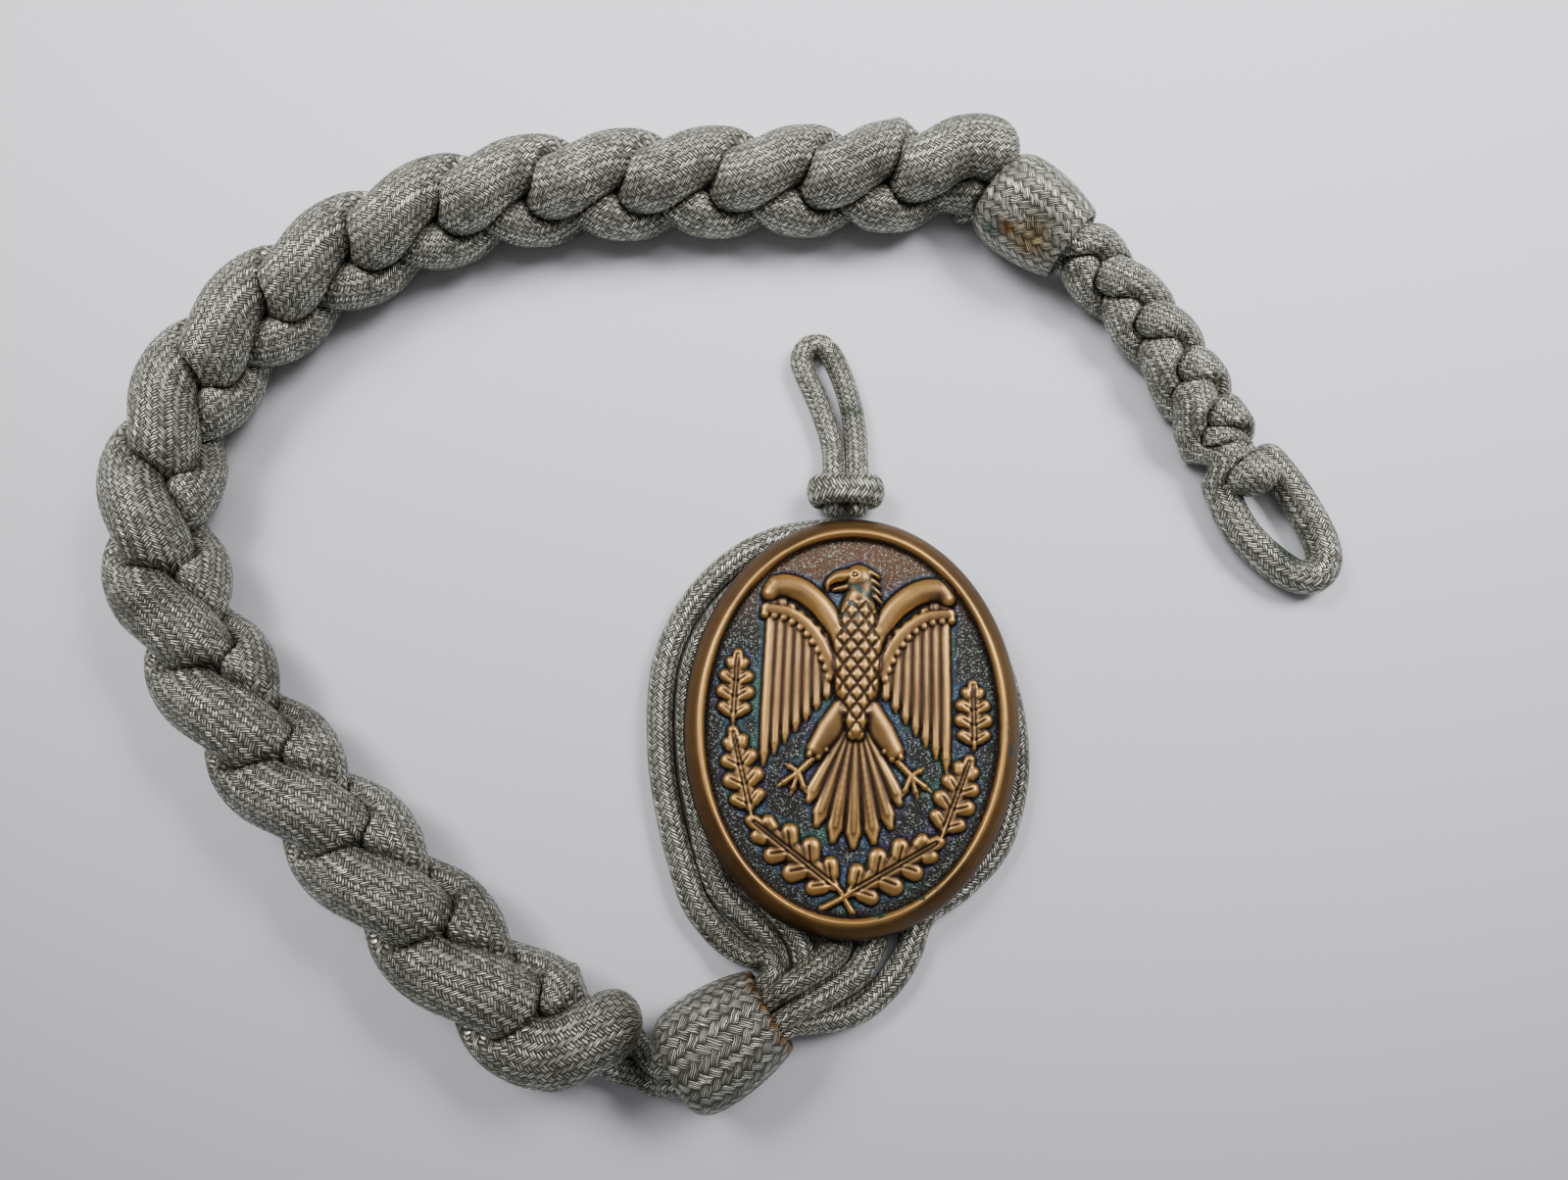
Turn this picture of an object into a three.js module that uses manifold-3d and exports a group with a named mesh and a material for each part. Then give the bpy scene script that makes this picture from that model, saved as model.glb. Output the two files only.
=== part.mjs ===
// A marksmanship lanyard that lies on a table. A thick three-strand braid of padded metallic cord runs in
// an open curve between two woven sleeves. A thin braid with a button loop leaves the upper sleeve, and a
// ring of thin cords leaves the lower one and carries an oval bronze plaque with a small shoulder loop.
// Millimetres, +Z up, the table at z = 0. Routes are drawn in the plan of the lying lanyard, and the whole
// group is moved at the end so that the middle of its footprint is the origin.
import * as THREE from "three";
import { mergeVertices } from "three/addons/utils/BufferGeometryUtils.js";
import Module from "manifold-3d";

const SILVER = { color: 0x96988f, roughness: 0.5, metalness: 0.4 };
const BRONZE = { color: 0x8a6238, roughness: 0.4, metalness: 0.9 };

const UP = new THREE.Vector3(0, 0, 1);
const THIRD = (2 * Math.PI) / 3;

const group = new THREE.Group();

function addPiece(name, geometry, finish) {
  const mesh = new THREE.Mesh(geometry, new THREE.MeshStandardMaterial(finish));
  mesh.name = name;
  group.add(mesh);
  return mesh;
}

const mix = (a, b, t) => a + (b - a) * t;
const ease = (t) => THREE.MathUtils.smoothstep(t, 0, 1);

// A smooth route through points that are [x, y, z].
function route(points) {
  const knots = points.map((point) => new THREE.Vector3(...point));
  const curve = new THREE.CatmullRomCurve3(knots, false, "catmullrom", 0.5);
  curve.arcLengthDivisions = 1000;
  return curve;
}

// Rings of a closed tube from start to finish: where each one is, and the share of the full radius that
// it has. The two ends are round, and the first and the last ring are points. The rings between them lie
// at whole steps, so that tubes laid together are cut at the same places.
function ringsBetween(start, finish, radius, pitch) {
  const cap = [
    [0, 0],
    [0.25, 0.66],
    [1, 1],
  ];
  const opening = cap.map(([reach, share]) => ({ at: start + reach * radius, share }));
  const closing = cap.map(([reach, share]) => ({ at: finish - reach * radius, share })).reverse();
  const body = [];
  for (let step = Math.ceil(start / pitch); step * pitch < finish; step++) {
    const at = step * pitch;
    if (at > start + radius + pitch / 3 && at < finish - radius - pitch / 3) body.push({ at, share: 1 });
  }
  return [...opening, ...body, ...closing];
}

// A closed tube: the rows of a sphere's mesh are moved onto the rings, one point at each pole.
function tubeGeometry(sides, rings, place) {
  const geometry = new THREE.SphereGeometry(1, sides, rings.length - 1);
  const { position, uv } = geometry.attributes;
  for (let i = 0; i < position.count; i++) {
    const row = Math.round((1 - uv.getY(i)) * (rings.length - 1));
    const side = Math.round(uv.getX(i) * sides) % sides;
    const point = place((-side / sides) * 2 * Math.PI, rings[row]);
    position.setXYZ(i, point.x, point.y, Math.max(point.z, 0));
  }
  return closed(geometry);
}

// The geometry with only its positions, and with shared vertices merged.
function closed(geometry) {
  geometry.deleteAttribute("normal");
  geometry.deleteAttribute("uv");
  const merged = mergeVertices(geometry, 1e-4);
  merged.computeVertexNormals();
  return merged;
}

// Unit vectors across a level route and along it, at a share of its length.
function crossing(curve, share) {
  const along = curve.getTangentAt(share);
  const side = new THREE.Vector3().crossVectors(UP, along).normalize();
  return { along, side, lift: new THREE.Vector3().crossVectors(along, side) };
}

// Thick braid. Its strands swing from side to side and pass over and under each other; the braid is
// rolled about its own line, so its outer column of lobes lies on top. The lobes are longer near the start.
const THICK_HEIGHT = 7.3;

const THICK = {
  line: route(
    [
    [-17.5, -58.8],
    [-25, -59.0],
    [-32.2, -56.9],
    [-39.6, -51.5],
    [-47.4, -44.3],
    [-55.0, -36.9],
    [-63.5, -28.7],
    [-71.6, -20.4],
    [-78.3, -11.2],
    [-83.7, -1.9],
    [-86.8, 7.4],
    [-86.8, 17.1],
    [-84.5, 26.4],
    [-79.4, 35.0],
    [-71.8, 42.7],
    [-62.3, 49.6],
    [-52.1, 54.8],
    [-40.9, 58.3],
    [-27.9, 59.6],
    [-14.7, 60.2],
    [0, 60.4],
    [13.2, 61.0],
    [23.6, 62.2],
    [32.0, 62.4],
  ].map(([x, y]) => [x, y, THICK_HEIGHT])),
  width: 6.7,
  swing: 4.5,
  lift: 2.7,
  firstLobe: 16.6,
  lobeChange: -0.016,
  phase: 0.105,
  sides: 8,
  pitch: 2.4,
  gap: 1.8,
  roll: [
    { at: 0, degrees: 42 },
    { at: 60, degrees: 40 },
    { at: 110, degrees: 48 },
    { at: 180, degrees: 56 },
    { at: 250, degrees: 52 },
  ],
};

// How each strand ends: where, its side and lift there, how much fatter it is, and the length over which
// it bends to that place.
const THICK_ENDS = [
  { strand: 0, start: 0.2, side: 0.2, lift: 2.7, fatter: 1.25, bend: 11 },
  { strand: 1, start: 5.5, side: -0.6, lift: -1.6, fatter: 1, bend: 8 },
  { strand: 2, start: 8.0, side: 1.6, lift: -2.8, fatter: 1, bend: 8 },
  { strand: 0, finish: 241.5, side: -0.4, lift: -2.6, fatter: 1, bend: 8 },
  { strand: 1, finish: 238.5, side: -3.4, lift: -0.4, fatter: 1, bend: 6 },
  { strand: 2, finish: 251.2, side: 3.9, lift: 0.2, fatter: 1.25, bend: 11 },
];

// Thin braid, which turns over on its way from the upper sleeve to the button loop.
const THIN = {
  line: route([
    [39.6, 52.9, 6.9],
    [43.4, 49.9, 6.6],
    [47.8, 45.8, 5.2],
    [52.2, 40.8, 4.6],
    [56.4, 34.4, 4.5],
    [60.0, 27.6, 4.4],
    [63.0, 22.0, 4.4],
    [67.6, 17.2, 4.4],
  ]),
  width: 4.7,
  swing: 2.45,
  lift: 1.75,
  firstLobe: 10.6,
  lobeChange: -0.085,
  phase: 0.15,
  sides: 8,
  pitch: 1.75,
  gap: 1.5,
  roll: [
    { at: 0, degrees: 40 },
    { at: 19, degrees: 35 },
    { at: 32, degrees: -5 },
    { at: 49, degrees: -15 },
  ],
};

const THIN_ENDS = [
  { strand: 0, start: 0, side: 0.1, lift: 1.9, fatter: 0.76, bend: 6 },
  { strand: 1, start: 0, side: 1.7, lift: -1.2, fatter: 0.76, bend: 6 },
  { strand: 2, start: 0, side: -1.3, lift: -0.9, fatter: 0.72, bend: 7 },
  { strand: 0, finish: 40, side: 2.7, lift: -1.7, fatter: 1, bend: 6 },
  { strand: 1, finish: 40, side: -2.6, lift: -1.7, fatter: 1, bend: 6 },
  { strand: 2, finish: 46, side: 0.4, lift: 2.4, fatter: 1.15, bend: 8 },
];

function rollAt(braid, at) {
  const rows = braid.roll;
  const next = Math.max(1, Math.min(rows.length - 1, rows.findIndex((row) => row.at > at)));
  const before = rows[next - 1];
  const after = rows[next];
  const t = THREE.MathUtils.clamp((at - before.at) / (after.at - before.at), 0, 1);
  return THREE.MathUtils.degToRad(mix(before.degrees, after.degrees, t));
}

// How far round its figure of eight the braid is: the number of lobes so far, each a third of a turn.
function turnAt(braid, at) {
  const lobes = Math.log(1 + (braid.lobeChange * at) / braid.firstLobe) / braid.lobeChange;
  return THIRD * (lobes + braid.phase);
}

// Middle and radius of a strand in the braid's cross section, side being towards its outer edge.
function strandAt(braid, ends, strand, at) {
  const turn = turnAt(braid, at) + strand * THIRD;
  const place = {
    side: braid.swing * Math.sin(turn),
    lift: braid.lift * Math.sin(2 * turn),
    radius: braid.width / 2,
  };
  for (const row of ends.filter((end) => end.strand === strand)) {
    const inside = row.start === undefined ? row.finish - at : at - row.start;
    const bent = 1 - ease(inside / row.bend);
    place.side = mix(place.side, row.side, bent);
    place.lift = mix(place.lift, row.lift, bent);
    place.radius *= mix(1, row.fatter, bent);
    const rounding = 1 - inside / place.radius;
    if (rounding > 0) {
      place.radius *= Math.sqrt(Math.max(0, 1 - rounding * rounding));
    }
  }
  return place;
}

// Distance from a strand's middle to its skin in a direction of the cross section. A strand that runs
// aslant is cut as an ellipse, and it is pressed flat against the strands beside it.
function skinAt(braid, ends, strand, at, direction) {
  const here = strandAt(braid, ends, strand, at);
  const ahead = strandAt(braid, ends, strand, at + 0.5);
  const slant = new THREE.Vector2(ahead.side - here.side, ahead.lift - here.lift).multiplyScalar(2);
  const steep = slant.length();
  const along = steep > 0 ? direction.dot(slant) / steep : 0;
  let reach = here.radius / Math.sqrt(1 - along * along + (along * along) / (1 + steep * steep));
  for (let other = 0; other < 3; other++) {
    const beside = strandAt(braid, ends, other, at);
    const apart = new THREE.Vector2(beside.side - here.side, beside.lift - here.lift);
    const distance = apart.length();
    if (other === strand || beside.radius < 0.01) continue;
    const facing = direction.dot(apart) / distance;
    const wall = (distance * here.radius) / (here.radius + beside.radius) - braid.gap / 2;
    if (facing > 0) reach = Math.min(reach, Math.max(0.05, wall / facing));
  }
  return { here, reach };
}

function strandGeometry(braid, ends, strand) {
  const length = braid.line.getLength();
  const start = ends.find((end) => end.strand === strand && end.start !== undefined).start;
  const finish = ends.find((end) => end.strand === strand && end.finish !== undefined).finish;
  const rings = ringsBetween(start, finish, braid.width / 2, braid.pitch);
  return tubeGeometry(braid.sides, rings, (angle, ring) => {
    const direction = new THREE.Vector2(Math.cos(angle), Math.sin(angle));
    const { here, reach } = skinAt(braid, ends, strand, ring.at, direction);
    const side = here.side + (ring.share > 0 ? reach * direction.x : 0);
    const lift = here.lift + (ring.share > 0 ? reach * direction.y : 0);
    const roll = rollAt(braid, ring.at);
    const outward = side * Math.cos(roll) - lift * Math.sin(roll);
    const height = side * Math.sin(roll) + lift * Math.cos(roll);
    const share = THREE.MathUtils.clamp(ring.at / length, 0, 1);
    const { side: across, lift: above } = crossing(braid.line, share);
    return braid.line.getPointAt(share).addScaledVector(across, outward).addScaledVector(above, height);
  });
}

for (let strand = 0; strand < 3; strand++) {
  addPiece("braid_strand_" + (strand + 1), strandGeometry(THICK, THICK_ENDS, strand), SILVER);
  addPiece("thin_strand_" + (strand + 1), strandGeometry(THIN, THIN_ENDS, strand), SILVER);
}

// A single cord along a route. It narrows to `neck` over the length `taper` at an end that is squeezed
// into a sleeve or under a turn of cord: "start", "finish" or "both".
function cordGeometry({ points, width, neck = width, taper = 6, squeezed = "", sides = 8, pitch = 3.2 }) {
  const line = route(points);
  const length = line.getLength();
  const rings = ringsBetween(0, length, neck / 2, pitch);
  return tubeGeometry(sides, rings, (angle, ring) => {
    const share = THREE.MathUtils.clamp(ring.at / length, 0, 1);
    const { side, lift } = crossing(line, share);
    const fromStart = squeezed === "start" || squeezed === "both" ? ring.at : length;
    const fromFinish = squeezed === "finish" || squeezed === "both" ? length - ring.at : length;
    const radius = mix(neck, width, ease(Math.min(fromStart, fromFinish) / taper)) / 2;
    return line
      .getPointAt(share)
      .addScaledVector(side, ring.share * radius * Math.cos(angle))
      .addScaledVector(lift, ring.share * radius * Math.sin(angle));
  });
}

// Sleeves: woven barrels that are widest near their braid end, with a straight bore. They lie on the
// table with a small flat underneath.
const SLEEVE = { width: 14.3, rim: 11.2, neck: 10.2, bore: 9.6, length: 14.4, sides: 16, flat: 0.25 };

// Half sections of a sleeve, from its braid end to its rim: distance along as a share of the length, radius.
const SLEEVE_PROFILE = [
  { along: -0.5, radius: SLEEVE.bore / 2 },
  { along: -0.5, radius: SLEEVE.neck / 2 },
  { along: -0.44, radius: 0.44 * SLEEVE.width },
  { along: -0.28, radius: 0.495 * SLEEVE.width },
  { along: -0.08, radius: 0.5 * SLEEVE.width },
  { along: 0.16, radius: 0.475 * SLEEVE.width },
  { along: 0.38, radius: 0.425 * SLEEVE.width },
  { along: 0.5, radius: SLEEVE.rim / 2 },
  { along: 0.5, radius: SLEEVE.bore / 2 },
];

// Middle of each sleeve in plan, and the compass angle in degrees that its rim faces.
const SLEEVES = {
  lower_sleeve: { x: -7.7, y: -59.9, facing: 31.5 },
  upper_sleeve: { x: 37.0, y: 55.0, facing: -40.5 },
};

const SLEEVE_HEIGHT = SLEEVE.width / 2 - SLEEVE.flat;

function sleeveGeometry({ x, y, facing }) {
  const profile = SLEEVE_PROFILE.map(
    ({ along, radius }) => new THREE.Vector2(radius, along * SLEEVE.length),
  );
  const geometry = new THREE.LatheGeometry([...profile, profile[0]], SLEEVE.sides);
  geometry.rotateY(Math.PI / SLEEVE.sides);
  geometry.rotateZ(-Math.PI / 2);
  geometry.rotateZ(THREE.MathUtils.degToRad(facing));
  geometry.translate(x, y, SLEEVE_HEIGHT);
  const { position } = geometry.attributes;
  for (let i = 0; i < position.count; i++) position.setZ(i, Math.max(position.getZ(i), 0));
  return closed(geometry);
}

for (const [name, place] of Object.entries(SLEEVES)) {
  addPiece(name, sleeveGeometry(place), SILVER);
}

// A point of a sleeve's own axes: along towards its rim, across to the left of that, and up.
function atSleeve(name, along, across, up) {
  const { x, y, facing } = SLEEVES[name];
  const turn = THREE.MathUtils.degToRad(facing);
  return [
    x + along * Math.cos(turn) - across * Math.sin(turn),
    y + along * Math.sin(turn) + across * Math.cos(turn),
    SLEEVE_HEIGHT + up,
  ];
}

// Thin cord ends that run from under the thick braid into the sleeves.
const TAIL = { width: 3.4, neck: 2.9, taper: 5, sides: 8, pitch: 2.6, squeezed: "finish" };
const TAILS = {
  lower_tail_1: [
    [-24.3, -62.35, 4.45],
    [-21.6, -64.2, 2.2],
    [-19.0, -64.8, 2.0],
    [-16.4, -65.6, 3.2],
    atSleeve("lower_sleeve", -7.2, -1.6, -1.9),
    atSleeve("lower_sleeve", -2.5, -1.6, -1.6),
  ],
  lower_tail_2: [
    [-22.2, -60.2, 3.5],
    [-20.2, -60.3, 2.4],
    [-18.3, -61.6, 3.0],
    [-16.4, -62.6, 5.4],
    atSleeve("lower_sleeve", -7.2, 1.5, 1.4),
    atSleeve("lower_sleeve", -2.5, 1.8, 1.8),
  ],
  upper_tail_1: [
    [25.6, 58.6, 1.75],
    [27.8, 58.6, 2.2],
    atSleeve("upper_sleeve", -8.8, -2.0, -2.6),
    atSleeve("upper_sleeve", -6.8, -2.0, -1.2),
    atSleeve("upper_sleeve", -2.5, -1.6, -0.6),
  ],
  upper_tail_2: [
    [25.4, 62.6, 1.75],
    [28.0, 62.6, 2.2],
    atSleeve("upper_sleeve", -8.6, 1.8, -2.2),
    atSleeve("upper_sleeve", -6.8, 1.8, 0.6),
    atSleeve("upper_sleeve", -2.5, 1.8, 1.0),
  ],
};

// Button loop at the free end of the thin braid.
const END_LOOP = {
  width: 4.9,
  pitch: 2.6,
  points: [
    [61.9, 16.6, 2.5],
    [63.3, 13.6, 2.45],
    [64.3, 10.6, 2.45],
    [66.1, 7.3, 2.45],
    [69.0, 4.1, 2.45],
    [72.3, 1.7, 2.45],
    [75.3, 1.5, 2.45],
    [76.9, 3.8, 2.45],
    [76.5, 7.2, 2.45],
    [75.0, 10.9, 2.45],
    [73.3, 14.2, 2.45],
    [71.1, 17.6, 2.45],
    [68.6, 20.6, 2.6],
  ],
};

// Ring of thin cords behind the plaque. Each leaves the lower sleeve's rim low down, lies beside the
// others on its way up the left and round under the plaque, and comes back over them into the rim. The
// innermost one is a turn that lies wholly under the plaque.
const RING = { width: 3.6, neck: 2.6, taper: 16, pitch: 5.2, level: 1.8 };
const level = (points) => points.map(([x, y]) => [x, y, RING.level]);
const RING_CORDS = {
  ring_cord_1: [
    atSleeve("lower_sleeve", 4.6, 3.05, 0),
    atSleeve("lower_sleeve", 8.2, 3.05, 0.1),
    [-1.3, -51.7, 6.6],
    [-2.2, -49.9, 5.6],
    [-5.0, -49.6, 4.0],
    ...level([
      [-8.6, -47.4],
      [-11.9, -43.4],
      [-13.9, -38.0],
      [-15.4, -32.6],
      [-16.7, -26.0],
      [-17.2, -19.6],
      [-17.1, -14.3],
      [-16.3, -9.6],
      [-14.2, -4.6],
      [-11.2, -0.2],
      [-7.3, 3.6],
      [-3.0, 6.2],
      [2.0, 7.7],
      [8.0, 8.0],
      [14.6, 6.4],
      [21.0, 2.6],
      [26.6, -4.2],
      [30.2, -12.0],
      [31.8, -20.0],
      [31.6, -27.6],
      [29.0, -35.6],
      [24.0, -41.0],
      [18.6, -44.8],
      [16.5, -49.7],
      [14.2, -53.2],
      [10.9, -56.2],
    ]),
    [7.2, -57.7, 2.9],
    [3.9, -58.0, 4.4],
    atSleeve("lower_sleeve", 8.2, -3.05, -0.3),
    atSleeve("lower_sleeve", 4.6, -3.05, 0),
  ],
  ring_cord_2: [
    atSleeve("lower_sleeve", 4.6, 1.5, -2.6),
    atSleeve("lower_sleeve", 8.2, 1.5, -2.6),
    [-0.8, -52.0, 2.9],
    [-1.3, -49.6, 1.8],
    [-3.2, -47.0, 1.8],
    ...level([
      [-6.0, -44.3],
      [-8.8, -41.1],
      [-10.4, -36.7],
      [-11.5, -31.6],
      [-12.8, -25.5],
      [-13.3, -19.6],
      [-13.2, -14.6],
      [-12.5, -10.7],
      [-10.7, -6.4],
      [-8.1, -2.6],
      [-4.9, 0.5],
      [-1.4, 2.6],
      [2.8, 3.9],
      [8.0, 4.1],
      [13.4, 2.7],
      [18.7, -0.5],
      [23.3, -6.3],
      [26.5, -13.2],
      [27.9, -20.2],
      [27.7, -26.8],
      [25.5, -33.6],
      [21.2, -38.3],
      [15.8, -42.0],
      [12.8, -45.0],
      [11.9, -48.4],
    ]),
    [9.9, -51.9, 2.8],
    [6.5, -53.9, 4.9],
    [2.9, -55.4, 7.9],
    atSleeve("lower_sleeve", 8.2, -1.5, 2.7),
    atSleeve("lower_sleeve", 4.6, -1.5, 2.6),
  ],
  ring_cord_3: [
    atSleeve("lower_sleeve", 4.6, -1.5, -2.6),
    atSleeve("lower_sleeve", 8.2, -1.5, -2.6),
    [2.4, -55.2, 2.7],
    [2.7, -52.0, 1.8],
    [2.4, -48.8, 1.8],
    ...level([
      [0.2, -45.4],
      [-2.9, -42.0],
      [-5.3, -38.5],
      [-6.8, -35.2],
      [-7.7, -30.8],
      [-9.0, -25.0],
      [-9.4, -19.6],
      [-9.3, -15.0],
      [-8.7, -12.0],
      [-7.2, -8.4],
      [-5.0, -5.4],
      [-2.4, -2.9],
      [0.6, -1.2],
      [3.8, -0.1],
      [8.0, 0.2],
      [12.2, -1.0],
      [16.4, -3.6],
      [20.2, -8.3],
      [22.8, -14.4],
      [24.0, -20.4],
      [23.8, -26.0],
      [22.0, -31.4],
      [18.4, -35.4],
      [13.2, -38.8],
      [9.8, -41.8],
      [8.3, -45.0],
    ]),
    [7.2, -49.1, 1.9],
    [4.7, -50.8, 6.4],
    [1.2, -52.7, 9.3],
    atSleeve("lower_sleeve", 8.2, 1.5, 2.7),
    atSleeve("lower_sleeve", 4.6, 1.5, 2.6),
  ],
  ring_cord_4: level([
    [3.7, -4.5],
    [0.9, -6.0],
    [-1.7, -8.4],
    [-3.6, -10.8],
    [-4.6, -13.5],
    [-5.1, -16.5],
    [-5.2, -20.4],
    [-4.7, -25.3],
    [-3.6, -30.1],
    [-2.1, -33.6],
    [-0.0, -36.6],
    [2.1, -38.9],
    [4.8, -40.0],
    [7.2, -38.0],
    [10.2, -35.1],
    [14.8, -32.8],
    [18.0, -29.5],
    [19.5, -25.3],
    [19.8, -20.8],
    [18.7, -15.7],
    [16.6, -10.8],
    [13.7, -7.2],
    [10.5, -5.1],
    [8.2, -4.4],
  ]),
};

// Shoulder loop above the plaque: two legs side by side that open into a narrow slot, held together by a
// turn of cord.
const SHOULDER = {
  width: 3.25,
  neck: 3.0,
  taper: 9,
  pitch: 3.2,
  points: [
    [7.1, 10.2, 2.2],
    [7.2, 12.2, 3.35],
    [7.2, 16.4, 3.25],
    [7.2, 20.0, 1.7],
    [6.8, 22.4, 1.63],
    [5.4, 27.0, 1.63],
    [3.6, 31.4, 1.63],
    [2.6, 34.2, 1.63],
    [3.4, 36.5, 1.63],
    [5.6, 36.9, 1.63],
    [7.2, 35.0, 1.63],
    [8.7, 31.4, 1.63],
    [9.9, 27.0, 1.63],
    [10.5, 22.6, 1.63],
    [10.6, 20.0, 1.7],
    [10.5, 16.4, 3.25],
    [10.5, 12.2, 3.35],
    [10.4, 10.2, 2.2],
  ],
};

const WRAP = { x: 8.85, y: 13.7, height: 4.2, width: 10.4, thick: 6.7, bevel: 0.5, legs: 7.7, leg: 4.3 };

function wrapGeometry({ x, y, height, width, thick, bevel, legs, leg }) {
  const outline = new THREE.Shape();
  outline.absellipse(0, 0, width / 2 - bevel, thick / 2 - bevel, 0, 2 * Math.PI);
  const hole = new THREE.Path();
  hole.absellipse(0, 0, legs / 2 + bevel, leg / 2 + bevel, 0, 2 * Math.PI);
  outline.holes.push(hole);
  const geometry = new THREE.ExtrudeGeometry(outline, {
    depth: height - 2 * bevel,
    bevelThickness: bevel,
    bevelSize: bevel,
    bevelSegments: 1,
    curveSegments: 7,
  });
  geometry.rotateX(Math.PI / 2);
  geometry.translate(x, y + height / 2 - bevel, thick / 2);
  return closed(geometry);
}

for (const [name, points] of Object.entries(TAILS)) {
  addPiece(name, cordGeometry({ ...TAIL, points }), SILVER);
}
for (const [name, points] of Object.entries(RING_CORDS)) {
  const squeezed = name === "ring_cord_4" ? "" : "both";
  addPiece(name, cordGeometry({ ...RING, points, squeezed }), SILVER);
}
addPiece("end_loop", cordGeometry(END_LOOP), SILVER);
addPiece("shoulder_loop", cordGeometry({ ...SHOULDER, squeezed: "both" }), SILVER);
addPiece("loop_wrap", wrapGeometry(WRAP), SILVER);

// Oval plaque: one bronze casting with a raised rim and relief on its sunk ground. Its back lies on the
// ring cords. The drawing is in millimetres from the plaque's middle, u to the right and v upwards.
const PLAQUE = {
  x: 9.15,
  y: -19.5,
  back: 3.95,
  turned: -2,
  narrower: 5.7,
  ground: 2.6,
  root: 0.7,
  sides: 36,
};

// Half section of the plaque along its height: radius and height over the back.
const PLAQUE_PROFILE = [
  { radius: 0, height: 0 },
  { radius: 27.4, height: 0 },
  { radius: 28.5, height: 0.9 },
  { radius: 28.5, height: 1.6 },
  { radius: 26.9, height: 3.8 },
  { radius: 26.3, height: 3.7 },
  { radius: 25.5, height: PLAQUE.ground },
  { radius: 0, height: PLAQUE.ground },
];

// Oak wreath: where each leaf grows from, where its tip is, and its greatest width.
const LEAVES = [
  { from: [-1.1, -22.0], to: [-13.6, -13.0], width: 6.2 },
  { from: [-13.1, -12.6], to: [-16.1, -1.2], width: 5.4 },
  { from: [-16.0, -0.5], to: [-15.7, 9.2], width: 4.6 },
  { from: [-0.4, -22.6], to: [12.4, -15.0], width: 6.2 },
  { from: [12.2, -14.6], to: [16.0, -4.1], width: 5.6 },
  { from: [16.4, -3.0], to: [16.2, 6.0], width: 4.6 },
];

// Half outline of a leaf with three lobes: share of its length, share of its half width.
const LEAF_LOBES = [
  { along: 0, across: 0.08 },
  { along: 0.16, across: 0.62 },
  { along: 0.27, across: 0.72 },
  { along: 0.34, across: 0.4 },
  { along: 0.46, across: 1 },
  { along: 0.56, across: 0.96 },
  { along: 0.62, across: 0.5 },
  { along: 0.76, across: 0.76 },
  { along: 0.9, across: 0.46 },
];

function leafOutline({ from, to, width }) {
  const foot = new THREE.Vector2(...from);
  const spine = new THREE.Vector2(...to).sub(foot);
  const across = new THREE.Vector2(-spine.y, spine.x).normalize().multiplyScalar(width / 2);
  const edge = (side) => (lobe) =>
    foot.clone().addScaledVector(spine, lobe.along).addScaledVector(across, side * lobe.across);
  const left = LEAF_LOBES.map(edge(1));
  return [...left, foot.clone().add(spine), ...LEAF_LOBES.map(edge(-1)).reverse()];
}

// A feather or a toe: a strip from its root to its tip that narrows to a blunt point.
function stripOutline({ from, to, width, point = 0.5 }) {
  const root = new THREE.Vector2(...from);
  const spine = new THREE.Vector2(...to).sub(root);
  const across = new THREE.Vector2(-spine.y, spine.x).normalize().multiplyScalar(width / 2);
  const bend = 1 - Math.min(0.5, width / spine.length());
  return [
    root.clone().addScaledVector(across, 0.8),
    root.clone().addScaledVector(spine, bend).add(across),
    root.clone().add(spine).addScaledVector(across, point),
    root.clone().add(spine).addScaledVector(across, -point),
    root.clone().addScaledVector(spine, bend).sub(across),
    root.clone().addScaledVector(across, -0.8),
  ];
}

// The eagle's middle line, and its outlines on the right of that line or across it.
const EAGLE = {
  middle: 0.5,
  body: [
    [-1.3, 17.4],
    [-2.2, 14.2],
    [-2.9, 10.6],
    [-2.7, 6.0],
    [-1.9, 2.0],
    [-0.9, -1.6],
    [1.9, -1.6],
    [2.9, 2.0],
    [3.7, 6.0],
    [3.9, 10.6],
    [3.2, 14.2],
    [2.3, 17.4],
  ],
  head: [
    [-1.2, 16.8],
    [-1.3, 18.3],
    [-3.2, 18.5],
    [-4.1, 17.9],
    [-3.9, 19.4],
    [-2.4, 20.5],
    [-1.0, 21.5],
    [0.8, 21.7],
    [2.3, 20.9],
    [2.9, 19.2],
    [2.4, 16.8],
  ],
  wingBone: [
    [3.4, 9.6],
    [3.2, 13.0],
    [4.7, 16.6],
    [7.2, 19.2],
    [10.0, 19.9],
    [12.4, 18.4],
    [12.9, 16.4],
    [11.2, 15.8],
    [8.8, 15.2],
    [6.4, 12.4],
    [4.9, 9.6],
  ],
  thigh: [
    [1.6, 3.0],
    [3.4, 1.9],
    [5.4, -1.2],
    [7.3, -4.6],
    [5.9, -5.6],
    [3.4, -3.0],
    [1.9, -0.4],
  ],
};

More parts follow.
